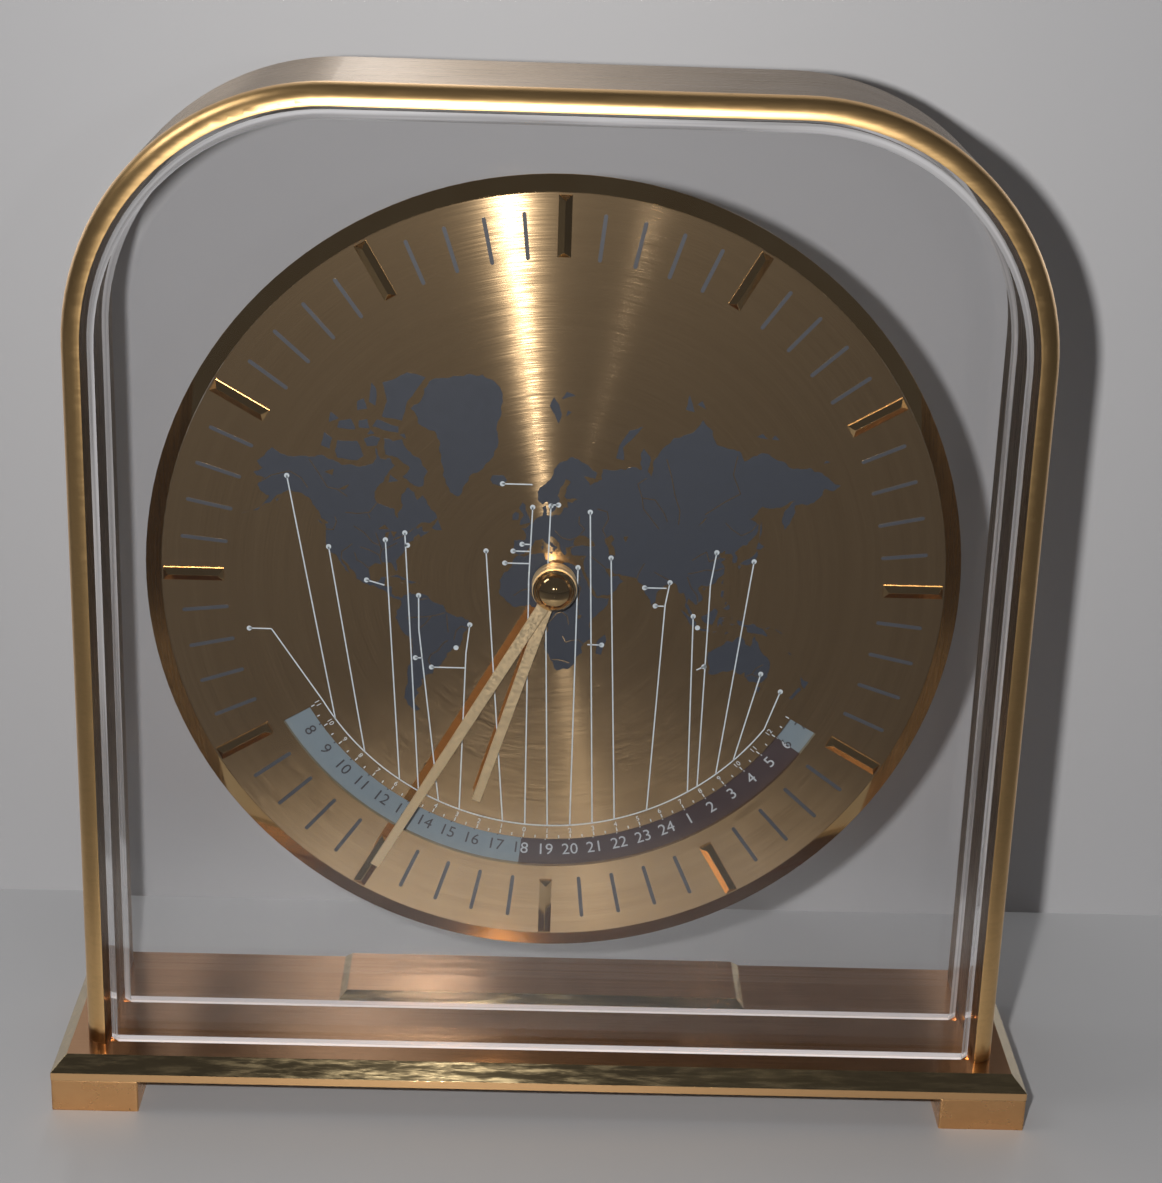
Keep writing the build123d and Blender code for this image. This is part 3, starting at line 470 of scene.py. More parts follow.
# Finish of each material and of the case's pieces
materials = {
    "brushed_brass": pitted_metal("brushed_brass", (0.82, 0.47, 0.21), (0.68, 0.37, 0.16), 0.27),
    "polished_brass": polished_metal("polished_brass", (0.86, 0.60, 0.29), (0.76, 0.50, 0.22), 0.045),
    "dial_gold": turned_metal(
        "dial_gold",
        (0.80, 0.56, 0.31),
        (0.60, 0.40, 0.21),
        roughness=0.13,
        anisotropy=1.0,
        furrow_tilt=0.25,
        haze_share=0.07,
    ),
    "hand_gold": brushed_metal(
        "hand_gold",
        (0.95, 0.75, 0.47),
        (0.92, 0.71, 0.43),
        roughness=0.48,
        line_scale=2400.0,
        grain_axis=along_z,
        anisotropy=0.2,
        edge=0.08 * MM,
    ),
    "clear_pane": clear_pane("clear_pane"),
    "disc_print": disc_print("disc_print", (0.17, 0.215, 0.245), (0.045, 0.028, 0.030)),
    "pan_metal": turned_metal(
        "pan_metal",
        (0.76, 0.74, 0.69),
        (0.64, 0.62, 0.57),
        roughness=0.5,
        anisotropy=0.6,
        furrow_tilt=0.05,
        haze_share=0.0,
    ),
    "steel": polished_metal("steel", (0.62, 0.62, 0.62), (0.5, 0.5, 0.51), 0.25),
    "gear_brass": polished_metal("gear_brass", (0.86, 0.66, 0.32), (0.74, 0.54, 0.25), 0.22, 0.03 * MM),
    "gear_plastic": moulded_plastic("gear_plastic", (0.80, 0.78, 0.70), 0.4, 3000.0, 0.06),
    "black_plastic": moulded_plastic("black_plastic", (0.028, 0.028, 0.03), 0.45),
    "copper_wire": brushed_metal(
        "copper_wire",
        (0.75, 0.30, 0.14),
        (0.45, 0.15, 0.06),
        roughness=0.3,
        line_scale=(300.0, 300.0, 9000.0),
        grain_axis=along_x,
        anisotropy=0.4,
    ),
    "board_green": moulded_plastic("board_green", (0.02, 0.16, 0.06), 0.35),
    "can_metal": polished_metal("can_metal", (0.75, 0.75, 0.76), (0.62, 0.62, 0.63), 0.2),
    "battery_can": brushed_metal(
        "battery_can",
        (0.16, 0.16, 0.18),
        (0.08, 0.08, 0.09),
        roughness=0.35,
        line_scale=(900.0, 900.0, 60.0),
        grain_axis=along_z,
        anisotropy=0.3,
    ),
}
# Polished slopes: an axis, and the middle and reach of the cosine of a face's lean along it
bevel_slope = ("Z", 0.7, 0.2)
bead_slope = ("Y", 0.55, 0.53)
base_finish = case_metal(
    "base_brass",
    light=(0.84, 0.50, 0.29),
    dark=(0.56, 0.32, 0.17),
    roughness=0.17,
    line_scale=(40.0, 5200.0, 5200.0),
    grain_axis=along_x,
    polish=(0.52, 0.40, 0.22),
    scuff_share=1.3,
    smoothest=0.09,
    dullest=0.18,
    polish_grain=0.9,
    polished_slope=bevel_slope,
    end_colour=(0.90, 0.55, 0.26),
)
band_finish = case_metal(
    "band_brass",
    light=(0.46, 0.38, 0.31),
    dark=(0.36, 0.29, 0.22),
    roughness=0.28,
    line_scale=(60.0, 5200.0, 60.0),
    grain_axis=None,
    polish=(0.92, 0.59, 0.26),
    scuff_share=0.95,
    smoothest=0.30,
    dullest=0.35,
    polish_grain=0.0,
    polished_slope=bead_slope,
    stain_height=4.0 * MM,
)
finishes = {"base_plate": base_finish, "base_plaque": base_finish, "arch_band": band_finish}
for subpart in frame["record"]["subparts"]:
    finish = finishes.get(subpart["node"], materials[subpart["material_slot"]])
    for slot in frame["nodes"][subpart["node"]].material_slots:
        slot.material = finish


# Printed shapes: flat outlines in millimetres from the dial's centre, x right and z up


def encloses_centre(outline):
    """True where a closed outline goes round the dial's centre."""
    inside = False
    for (x, z), (next_x, next_z) in zip(outline, outline[1:] + outline[:1]):
        if (z > 0) != (next_z > 0) and x - z * (next_x - x) / (next_z - z) > 0:
            inside = not inside
    return inside


def outside_hole(start, end):
    """Stretches of a straight stroke, one or two, that leave the dial's centre hole clear."""
    cuts = [p for p in intersect_line_sphere_2d(start, end, (0.0, 0.0), dial_hole_radius) if p]
    if len(cuts) < 2:
        return [(start, end)]
    cuts.sort(key=lambda p: (p - Vector(start)).length)
    return [(start, tuple(cuts[0])), (tuple(cuts[1]), end)]


def print_piece(name, work, material, body):
    """Turns a finished mesh into a printed piece that rides on a body."""
    mesh = bpy.data.meshes.new(name)
    work.to_mesh(mesh)
    work.free()
    piece = bpy.data.objects.new(name, mesh)
    bpy.context.scene.collection.objects.link(piece)
    mesh.materials.append(material)
    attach(piece, body)


def flat_piece(name, outlines, front, material, body):
    """Thin printed layer on a face, from closed outlines; its printed side is at the front."""
    work = bmesh.new()
    for outline in outlines:
        loops = [outline]
        if encloses_centre(outline):
            loops.append(dot((0.0, 0.0), dial_hole_radius, hole_steps))
        ground = [[Vector((x, z, 0.0)) for x, z in loop] for loop in loops]
        points = [point for loop in loops for point in loop]
        corners = [work.verts.new((x * MM, front, dial_centre_z + z * MM)) for x, z in points]
        for a, b, c in tessellate_polygon(ground):
            if len({a, b, c}) == 3:
                work.faces.new((corners[a], corners[b], corners[c]))
    shell = bmesh.ops.extrude_face_region(work, geom=work.faces[:])
    fresh = [v for v in shell["geom"] if isinstance(v, bmesh.types.BMVert)]
    bmesh.ops.translate(work, verts=fresh, vec=(0.0, -print_thickness, 0.0))
    bmesh.ops.recalc_face_normals(work, faces=work.faces[:])
    print_piece(name, work, material, body)


def clock_point(radius, angle):
    """Point at a clock angle, in degrees clockwise from 12."""
    turn = math.radians(angle)
    return radius * math.sin(turn), radius * math.cos(turn)


def ribbon(start, end, width):
    """Straight stroke with square ends."""
    a = Vector(start)
    b = Vector(end)
    side = (b - a).normalized().orthogonal() * width / 2
    return [tuple(a + side), tuple(b + side), tuple(b - side), tuple(a - side)]


def pill(start, end, width, steps=5):
    """Straight stroke with round ends."""
    a = Vector(start)
    b = Vector(end)
    along = (b - a).normalized()
    side = along.orthogonal()
    outline = []
    for centre, sign in ((b, 1.0), (a, -1.0)):
        for i in range(steps + 1):
            turn = math.pi * i / steps
            reach = side * math.cos(turn) + along * math.sin(turn)
            outline.append(tuple(centre + reach * sign * width / 2))
    return outline


def dot(centre, radius, steps=14):
    turns = [2 * math.pi * i / steps for i in range(steps)]
    return [(centre[0] + radius * math.cos(t), centre[1] + radius * math.sin(t)) for t in turns]


def arc_band(inner, outer, start, end, steps=90):
    """Band between two radii and two clock angles."""
    angles = [start + (end - start) * i / steps for i in range(steps + 1)]
    return [clock_point(outer, a) for a in angles] + [clock_point(inner, a) for a in reversed(angles)]


slate_ink = ink("slate_ink", (0.024, 0.029, 0.042))
tick_ink = ink("tick_ink", (0.060, 0.062, 0.072), 0.4)
white_ink = ink("white_ink", (0.55, 0.61, 0.65))
ring_ink = disc_print("ring_ink", (0.035, 0.030, 0.035), (0.42, 0.45, 0.48))

# Minute ticks between the hour markers
tick_inner_radius = 50.6
tick_outer_radius = 57.2
tick_width = 0.6
minutes_per_turn = 60
minutes_per_marker = 5
minute_ticks = []
for minute in range(minutes_per_turn):
    if minute % minutes_per_marker:
        angle = 360.0 / minutes_per_turn * minute
        inner = clock_point(tick_inner_radius, angle)
        minute_ticks.append(pill(inner, clock_point(tick_outer_radius, angle), tick_width))
flat_piece("minute_ticks", minute_ticks, dial_front, tick_ink, "case")

# World map, as longitude and latitude in degrees; meridians are upright and shapes keep their angles
map_scale = 14.25
map_equator = -5.3
map_meridian = -4.2


def map_point(longitude, latitude):
    """Place on the dial of a point on the globe."""
    x = map_meridian + map_scale * math.radians(longitude)
    return x, map_equator + map_scale * math.log(math.tan(math.pi / 4 + math.radians(latitude) / 2))


lands = [
    [
        (-166, 68.3), (-156.5, 71.3), (-141, 69.6), (-134, 69.5), (-128, 70), (-115, 68), (-108, 68),
        (-101, 67.8), (-95, 68.5), (-94, 71.8), (-91, 69.5), (-85, 69.7), (-82, 68), (-86, 66.3),
        (-93, 62), (-94.5, 58.8), (-92.5, 57), (-85, 55.3), (-82.3, 55.1), (-82, 53), (-80, 51.3),
        (-79, 54.5), (-77, 56.5), (-78, 60), (-74, 62.3), (-70, 61), (-68, 58.5), (-65, 60), (-62, 57),
        (-57, 54), (-56, 52), (-60, 50), (-66, 50), (-70, 47.5), (-65, 48.5), (-64.5, 46.3),
        (-60.5, 46.5), (-64, 44.6), (-66, 43.5), (-67, 45), (-70, 43.6), (-70.5, 41.8), (-74, 40.6),
        (-75.5, 38), (-76, 36), (-77.5, 34.3), (-81, 31.5), (-80.1, 26), (-81, 25.1), (-82.7, 28),
        (-84, 30), (-89, 30.2), (-90, 29), (-94, 29.5), (-97.3, 27.5), (-97.5, 24), (-97, 21),
        (-95.5, 18.7), (-92, 18.5), (-90.5, 19.8), (-90.2, 21), (-87, 21.4), (-88, 18.3), (-88.7, 15.8),
        (-84, 15.8), (-83.3, 15), (-83.6, 11), (-81.5, 9), (-79.5, 9.5), (-77.3, 8.3), (-75.5, 10.6),
        (-71.7, 12.4), (-71.5, 11), (-68, 11), (-62, 10.7), (-60, 8.3), (-57, 6), (-52, 4.8), (-50, 1),
        (-48, -0.8), (-44, -2.7), (-40, -2.9), (-35.3, -5.3), (-34.9, -8), (-38.5, -13), (-39, -17.5),
        (-41, -22), (-44.7, -23.1), (-48.5, -26), (-49, -28.6), (-52, -32.5), (-54.5, -34.9),
        (-58.2, -34), (-57, -36.5), (-58, -38.3), (-62.2, -39), (-62.5, -41), (-65, -41), (-64, -42.5),
        (-65.3, -45), (-67.5, -46.3), (-65.8, -47.8), (-69, -51), (-68.5, -52.5), (-65.2, -54.7),
        (-69, -55.5), (-73, -53), (-75.5, -50), (-74.5, -46), (-73, -42), (-73.5, -38), (-71.6, -33),
        (-70.3, -26), (-70.3, -18.4), (-76.2, -14), (-79.5, -7.5), (-81.3, -4.7), (-80, -2.5), (-80.5, 0),
        (-78.8, 1.5), (-77.3, 4), (-77.9, 7.2), (-80, 7.4), (-82.5, 8.2), (-85.7, 10.2), (-87.5, 12.9),
        (-91.5, 14), (-94.5, 16.2), (-97, 15.8), (-101.5, 17.6), (-105.5, 20), (-106, 23), (-109.4, 26),
        (-112.5, 30), (-114.8, 31.7), (-112.8, 28.5), (-111, 25.5), (-109.5, 23), (-112, 25), (-114, 28),
        (-116, 30.5), (-117.3, 33), (-120.6, 34.6), (-122.5, 37.5), (-124.2, 40.3), (-124.2, 43),
        (-123.9, 46.2), (-124.7, 48.4), (-122.5, 49), (-127, 51), (-130, 54.5), (-133, 57.5), (-137, 59),
        (-141, 60), (-146, 60.8), (-151, 59.3), (-154, 58.8), (-158, 56.3), (-163, 54.8), (-158.5, 58.5),
        (-162, 59.5), (-165.5, 62), (-161, 64), (-166, 64.6), (-168, 65.6), (-162, 66.6),
    ],
    [
        (-73, 78.2), (-66, 79.5), (-62, 81.2), (-45, 81.8), (-30, 82), (-20, 81), (-18, 79), (-20, 75),
        (-22, 71), (-27, 69), (-37, 65.7), (-43, 60), (-48, 61), (-53, 66), (-54, 70), (-58, 75),
        (-68, 76.1),
    ],
    [
        (-6, 35.8), (-2, 35.1), (3, 36.8), (10, 37.3), (11, 34), (15, 32.3), (20, 30.5), (23, 32.7),
        (29, 31), (32.5, 31.2), (33.5, 28.5), (35.5, 24), (37.3, 20.8), (39.5, 15.5), (43.2, 11.7),
        (51.2, 11.9), (48, 4.5), (43.5, 0), (40, -3.5), (39, -7), (40.6, -12), (40.5, -15.5), (35, -20),
        (35.5, -24), (32.8, -26), (30.5, -31), (27, -33.7), (20, -34.8), (18.3, -33.5), (15, -27),
        (12, -18), (13.7, -11), (12.2, -6), (9, -1), (9.5, 3.8), (6, 4.3), (2, 6.3), (-4, 5.2),
        (-7.5, 4.4), (-13, 8.5), (-16.8, 12.5), (-17.4, 14.7), (-16.3, 19.5), (-17, 21), (-14.5, 26),
        (-9.8, 29.5), (-9.3, 32.3),
    ],
    [
        (-9, 37), (-9.3, 38.7), (-8.8, 43.2), (-1.8, 43.4), (-1.2, 46), (-4.7, 48.4), (-1.5, 48.7),
        (2.5, 51), (5, 53), (8.5, 53.8), (8.2, 57), (10.5, 57.7), (11, 54.3), (14, 54), (19, 54.4),
        (21, 56.9), (24, 57.2), (23.5, 59.2), (30, 59.9), (23, 60), (21.4, 61), (25, 65), (22, 65.8),
        (17.3, 61), (18.8, 59.8), (16.3, 56.5), (14.2, 55.4), (12.8, 55.5), (11, 59), (8, 58),
        (5.2, 59.5), (5, 62), (11, 65), (15, 68.3), (20, 70), (26, 71), (31, 70), (41, 67.5), (40, 66),
        (33, 66.6), (37, 64), (41, 65.2), (44, 66), (44, 68.5), (54, 68.5), (60, 69), (68, 68.5),
        (67, 71.5), (69, 73), (73, 71.5), (72, 68), (74, 67), (78, 72), (87, 75), (100, 76.4),
        (104, 77.7), (113, 74), (127, 73), (130, 71), (140, 72.7), (150, 71.5), (160, 69.7), (170, 70),
        (178, 69), (190, 66), (186, 64.5), (180, 65), (177.5, 62.5), (170, 60), (163, 60), (162, 56),
        (157, 51), (156, 57), (163, 61.5), (155, 59.3), (143, 59.3), (135, 54.7), (141, 53), (140, 48.5),
        (135, 44), (131, 42.8), (127.5, 39.8), (129.4, 37), (129, 35.2), (126.4, 34.5), (126.7, 37.7),
        (125, 39.6), (121.5, 39), (121.8, 40.9), (118, 39), (119, 37.3), (122.4, 37.3), (119.3, 35),
        (121.8, 31.5), (121.5, 28.5), (117, 23.5), (110, 21), (108, 21.6), (105.8, 19), (109.2, 13),
        (106.7, 10.5), (105, 8.7), (100.5, 13.4), (99.3, 10), (103.5, 1.3), (101, 2.8), (98.3, 8),
        (97.5, 16.5), (94.3, 16), (91.5, 22.4), (87, 21.3), (80.2, 15.5), (79.8, 10.3), (77.5, 8),
        (74.5, 14), (72.7, 20), (69, 22), (66.7, 25), (57, 27), (54, 26.6), (50, 30), (48, 29.8),
        (51, 25), (56, 26), (59.8, 22.5), (55, 17), (45, 12.9), (43, 13), (39, 21.5), (35, 28),
        (34.5, 31.5), (36, 36.5), (30.5, 36.5), (27, 37), (26.5, 40), (30, 41.2), (36, 41.5),
        (41.5, 41.5), (37, 45), (33, 46.3), (30.5, 46), (28, 43), (28.5, 41.3), (26, 40.8), (23, 40.3),
        (24, 37.7), (22.5, 36.5), (19.5, 41.5), (13.8, 45.5), (12.4, 44.3), (18.4, 40.2), (16, 38),
        (15.7, 40), (11, 42.4), (8.8, 44.4), (4, 43.4), (3.2, 41.8), (0, 39), (-2, 36.8), (-5.5, 36),
    ],
    [
        (114, -22), (114, -26), (115.7, -32), (115, -34.3), (118, -35), (124, -33), (131, -31.5),
        (135.5, -34.8), (138, -33), (138, -35.6), (141, -38.3), (144, -38.3), (146.4, -39), (150, -37.5),
        (153, -32), (153.5, -28), (150.8, -23.5), (146.3, -19), (145.3, -15), (142.5, -10.8),
        (141.5, -14), (140.5, -17.6), (137, -16), (135.5, -12.2), (132.5, -11.4), (130, -13.5),
        (129, -15), (125.5, -14.3), (122.2, -18),
    ],
    [(144.7, -40.8), (148.3, -40.9), (147, -43.6)],
    [(172.8, -34.5), (175.5, -37), (178.4, -37.8), (176, -41.3), (174, -39.3)],
    [(172.7, -40.6), (174, -41.6), (171, -44.3), (168.5, -46.6), (166.5, -45.9), (170, -43)],
    [(49.3, -12.2), (50.4, -15.7), (47.2, -25), (44, -24.5), (44.3, -17)],
    [
        (-5.5, 50.1), (1.3, 51.2), (0.3, 53), (-2, 55.8), (-2, 57.5), (-4, 58.6), (-6, 56.5), (-3, 54),
        (-5, 52),
    ],
    [(-10, 52), (-6.3, 52.3), (-5.8, 54.5), (-8, 55.2), (-10, 54)],
    [(-22.5, 64), (-18, 63.4), (-13.7, 65), (-16, 66.4), (-22.5, 66.3), (-24, 65)],
    [
        (131, 34.2), (135.5, 33.6), (139.8, 35), (141.8, 39.5), (141.3, 41.3), (139.8, 39.5),
        (136.8, 37.2), (132.5, 35.4),
    ],
    [(130, 33.5), (131.8, 33.3), (131, 31.2), (130, 32)],
    [(140, 42), (143.2, 42), (145.3, 43.4), (141.8, 45.4), (141, 43)],
    [(142, 46), (143.2, 49.3), (143, 54), (142, 52)],
    [(120.5, 18.4), (122.2, 18.3), (121.6, 14.2), (124, 12.8), (120.2, 14.5)],
    [(122, 7), (125.5, 9.7), (126.4, 7), (124.5, 6)],
    [
        (109, 1.5), (111.5, 2.5), (115.2, 5.2), (117, 7), (119, 5), (117.8, 1), (116, -3.8), (111.5, -3),
        (109, -0.5),
    ],
    [(95.3, 5.6), (98.5, 3.8), (103.5, -0.5), (106, -3), (105.7, -5.8), (102, -4), (98.7, 1.5)],
    [(105.2, -6.8), (108.5, -6.7), (114.4, -7.8), (114.4, -8.7), (106.5, -7.4)],
    [
        (119.5, -5.4), (119, -2), (120, 1), (125, 1.6), (121, 0), (123.3, -1), (121.5, -2), (122.7, -5),
        (120.5, -3),
    ],
    [
        (131, -0.8), (134, -0.8), (135, -3.3), (141, -2.6), (147.5, -6), (150.8, -10.4), (147, -9.5),
        (143, -9), (138, -8.2), (137.5, -5), (132.8, -4),
    ],
    [(-85, 22), (-80, 23), (-74.3, 20.2), (-77.5, 19.9), (-78, 21)],
    [(-74.4, 18.5), (-73, 19.9), (-68.5, 18.6), (-71.5, 17.7)],
    [(-59.3, 47.7), (-55.5, 51.5), (-53, 47), (-56, 46.9)],
    [
        (-72, 63.5), (-65, 62.8), (-62, 66.8), (-68, 70), (-78, 73.5), (-89, 73.6), (-88, 70.5),
        (-80, 69.7), (-73, 67.5), (-77.5, 65.2),
    ],
    [(-117, 69.5), (-105, 69), (-101, 70), (-105, 73), (-117, 73), (-118.5, 71)],
    [(-90, 77), (-78, 76.5), (-75, 79), (-64, 81.6), (-75, 82), (-90, 81), (-87, 79)],
    [(-127, 72), (-121.5, 71.3), (-120, 73.4), (-125, 74.4)],
    [(-96, 75.5), (-80, 74.6), (-80, 75.6), (-93, 76.6)],
    [(-99, 72), (-93, 72.2), (-91, 73.6), (-96, 74), (-101, 73.4)],
    [(-85, 65.8), (-80, 64), (-86, 63.6)],
    [(-129.5, 50.6), (-125.6, 48.3), (-127.5, 48.9)],
    [(11, 79), (16.5, 76.7), (18.5, 78), (16.5, 79.2), (13.5, 80)],
    [(52, 71), (57, 70.6), (56, 73), (68, 76.6), (60, 76), (54, 73.5)],
    [(93, 79), (98.5, 78.7), (95, 80.6)],
    [(137, 75.5), (144, 75.2), (140.5, 76)],
    [(80, 9.7), (81.8, 7.5), (80.5, 6)],
    [(120.2, 23.5), (121.6, 25.2), (120.9, 22)],
    [(108.7, 19.4), (110.9, 19.9), (109.6, 18.3)],
    [(8.3, 40.8), (9.6, 41), (9.4, 39.2), (8.5, 39)],
    [(12.5, 38), (15.5, 38.2), (15.1, 36.8)],
    [(-117, 75.2), (-106, 75), (-109, 76.6), (-116, 76.2)],
    [(-104, 75.3), (-97.5, 75.2), (-99, 76.6), (-104, 76.4)],
    [(-122, 76), (-116, 76.6), (-121, 77.5)],
    [(-105, 77.8), (-99, 78), (-101, 79.3), (-105, 78.9)],
    [(-98, 78.9), (-94, 78.4), (-93.5, 80.3), (-96.5, 81)],
    [(-99, 74.2), (-94.5, 74.4), (-97, 75)],
    [(-79.5, 74.3), (-75.5, 73.6), (-76.5, 74.5)],
    [(-154.5, 57.5), (-152, 57.7), (-154, 56.7)],
    [(-168.8, 53.2), (-164, 54.6), (-165.5, 53.4)],
    [(-176, 51.8), (-171, 52.6), (-174, 52.4)],
    [(-78.2, 18.4), (-76.3, 18.1), (-77.5, 17.8)],
    [(-67.2, 18.4), (-65.7, 18.3), (-66.5, 17.9)],
    [(18, 79.8), (26.5, 80.2), (21, 80.6)],
    [(21, 77.7), (24.5, 78.3), (22, 78.5)],
    [(100, 79.6), (105.5, 79), (103, 80)],
    [(146, 75.2), (151, 75.1), (148, 75.8)],
    [(178.5, 71), (182.5, 71.3), (180, 71.6)],
    [(23.5, 35.3), (26.2, 35.2), (24.8, 34.8)],
    [(32.4, 34.8), (34.5, 35.6), (33.5, 34.6)],
    [(8.6, 42), (9.5, 42.9), (9.3, 41.5)],
    [(116, -8.4), (119, -8.3), (117.5, -9)],
    [(123.7, -10.2), (127, -8.4), (124.3, -8.9)],
    [(127.5, 0.5), (128.3, 1.9), (128.2, -0.4)],
    [(126.2, -3.1), (130.5, -3), (128.3, -4.1)],
    [(148.5, -5.7), (152.2, -4.2), (150.5, -6)],
    [(155, -5.6), (160.5, -9.3), (156.5, -7)],
    [(164, -20.2), (167, -22.3), (165, -21.8)],
    [(123, 10.8), (124.5, 11.3), (123.3, 9.3)],
]
coast_roughness_share = 0.14
islet_roughness_share = 0.05
islet_points = 9
coast_divisions = 3


def rough_coast(land):
    """Closed coast with small seeded bays and headlands between its points."""
    points = [Vector(map_point(*p)) for p in land]
    share = islet_roughness_share if len(land) <= islet_points else coast_roughness_share
    for _ in range(coast_divisions):
        finer = []
        for here, there in zip(points, points[1:] + points[:1]):
            across = (there - here).orthogonal()
            finer.append(here)
            finer.append((here + there) / 2 + across * random.uniform(-1.0, 1.0) * share)
        points = finer
    return [tuple(p) for p in points]


flat_piece("world_map", [rough_coast(land) for land in lands], dial_front, slate_ink, "case")
map_layer = dial_front - print_thickness

# Rivers and inland waters, where the dial's metal shows in the print
rivers = [
    [(-134, 69), (-128, 65.5), (-123, 61.8), (-117, 61.2), (-111, 59)],
    [(-164, 62.8), (-157, 64.8), (-146, 66), (-139, 64.3), (-135, 61.5)],
    [(-123.8, 46.2), (-119.5, 46), (-117.5, 49.5), (-118.5, 51.5)],
    [(-114.8, 32), (-114.3, 35.5), (-110.5, 37.8), (-108, 39.5)],
    [(-97.3, 26), (-101.5, 29.5), (-105, 31), (-106.5, 35)],
    [(-89.8, 29.8), (-91, 33), (-90, 37), (-91.5, 41), (-93.5, 45)],
    [(-90.2, 38.8), (-95.5, 40.5), (-100.5, 45), (-107, 47.8)],
    [(-91.2, 34), (-97, 36.5), (-103, 38)],
    [(-89.3, 37), (-85, 38.5), (-80.5, 40.5)],
    [(-70.5, 47.3), (-73.5, 45.6), (-76.5, 44.2)],
    [(-93, 57), (-97.5, 53.5), (-105, 53), (-112, 53.3)],
    [(-50.5, -0.5), (-56, -2.4), (-62, -3.5), (-69, -4), (-74, -4.5)],
    [(-59, -3.3), (-63, -8.5), (-66, -11)],
    [(-61.5, 8.8), (-66.5, 7.5), (-67.5, 4)],
    [(-49.3, -2), (-49, -7), (-48.3, -13)],
    [(-36.8, -10.4), (-40, -9), (-43.3, -12), (-44.7, -18)],
    [(-58.5, -33.8), (-60.5, -31), (-58.7, -27.3), (-54.5, -25), (-51.5, -20.5), (-48.5, -18.5)],
    [
        (31, 31), (31, 27), (32.8, 24), (30.8, 20), (33.5, 18), (32.5, 15.5), (32, 10), (31.5, 5),
        (32.5, 1.5),
    ],
    [(6.3, 4.8), (6.7, 8), (3.5, 12), (0, 16.5), (-4, 15), (-8, 12)],
    [(12.8, -6), (16, -3), (18.5, 1), (22, 2), (25.3, -0.5), (26.5, -6)],
    [(36, -18.6), (33, -16), (28.5, -16.5), (25, -17.8), (23, -14)],
    [(16.8, -28.5), (20.5, -28.6), (24.5, -29.3), (27.5, -30.3)],
    [(47.8, 46), (45.5, 49), (49, 53.5), (48, 56), (42, 57)],
    [(32, 46.8), (34.5, 49), (30.8, 51.5), (31, 54)],
    [(29, 45.2), (26, 44), (20.5, 45), (16.5, 48)],
    [(71, 66.5), (66, 65), (69, 61), (77, 60.5), (83, 56), (85, 53)],
    [(69, 61), (70, 57.5), (75, 54), (80, 50)],
    [(83, 71), (86.5, 67), (89, 62), (92.5, 57), (92, 52)],
    [(126, 72), (124, 68), (129, 63), (120, 60.5), (108, 56)],
    [(140.5, 53), (137, 50), (131, 48), (125, 50.5), (121, 53)],
    [(118.5, 37.5), (112, 35), (110, 40), (105.5, 38), (101.5, 35.5)],
    [(121, 31.8), (116, 30), (110.5, 30.5), (104, 28.8), (99.5, 28)],
    [(106.3, 10.2), (105.5, 15), (101.5, 20), (99, 26)],
    [(89, 23.5), (84, 25.7), (78.5, 28.5)],
    [(67.8, 24.3), (69, 28), (72, 33)],
    [(48, 30.3), (44, 33), (38.5, 36.5)],
    [(139, -35.3), (142.5, -34.2), (147, -36)],
    [(142.5, -34.2), (144.5, -31), (149, -28.5)],
]
waters = [
    [(47, 45), (51, 47), (53, 45), (51, 43), (53, 41), (54, 37), (50, 37.3), (49.5, 40.5), (47.5, 43)],
    [(58.5, 46), (61.5, 46.5), (60, 43.8)],
    [(104, 51.7), (109.7, 55.5), (106.5, 52.8)],
    [(-92, 46.7), (-88, 48.8), (-84.7, 46.6), (-88, 46.8)],
    [(-87.5, 41.8), (-86.3, 42), (-85, 45.8), (-87.7, 45)],
    [(-84.5, 46), (-80.5, 45.8), (-82.3, 43), (-83.5, 44.5)],
    [(-83.2, 41.6), (-79, 42.8), (-76.3, 44), (-79.5, 43.4), (-82, 42.5)],
    [(-125, 66), (-119, 66.8), (-120, 65.2)],
    [(-116.5, 61.2), (-109.5, 62.8), (-112.5, 61.2)],
    [(-98.5, 53.5), (-96.3, 50.6), (-97.5, 51.5)],
    [(32, 0.3), (34.5, 0), (33, -2.5), (31.8, -2)],
]
river_width = 0.13
river_end_steps = 2
bare_metal = [rough_coast(water) for water in waters]
for river in rivers:
    course = [map_point(*p) for p in river]
    bare_metal += [pill(a, b, river_width, river_end_steps) for a, b in zip(course, course[1:])]
flat_piece("map_rivers", bare_metal, map_layer, materials["dial_gold"], "case")

# Hour offsets along the inner edge of the window, and the lines that lead from the map to them
offset_zero_angle = 185.0
offset_arc_radius = 41.1
offset_number_radius = 42.05
offset_number_size = 1.15
offset_tick_radius = 43.25
offset_tick_width = 0.16
hour_tick_length = 0.62
half_hour_tick_length = 0.42
first_offset = -11
last_offset = 12
last_tick_offset = 13
line_width = 0.2
dot_radius = 0.4
line_layer = map_layer - print_thickness


def offset_angle(hours):
    return offset_zero_angle - hours * ring_hour_step


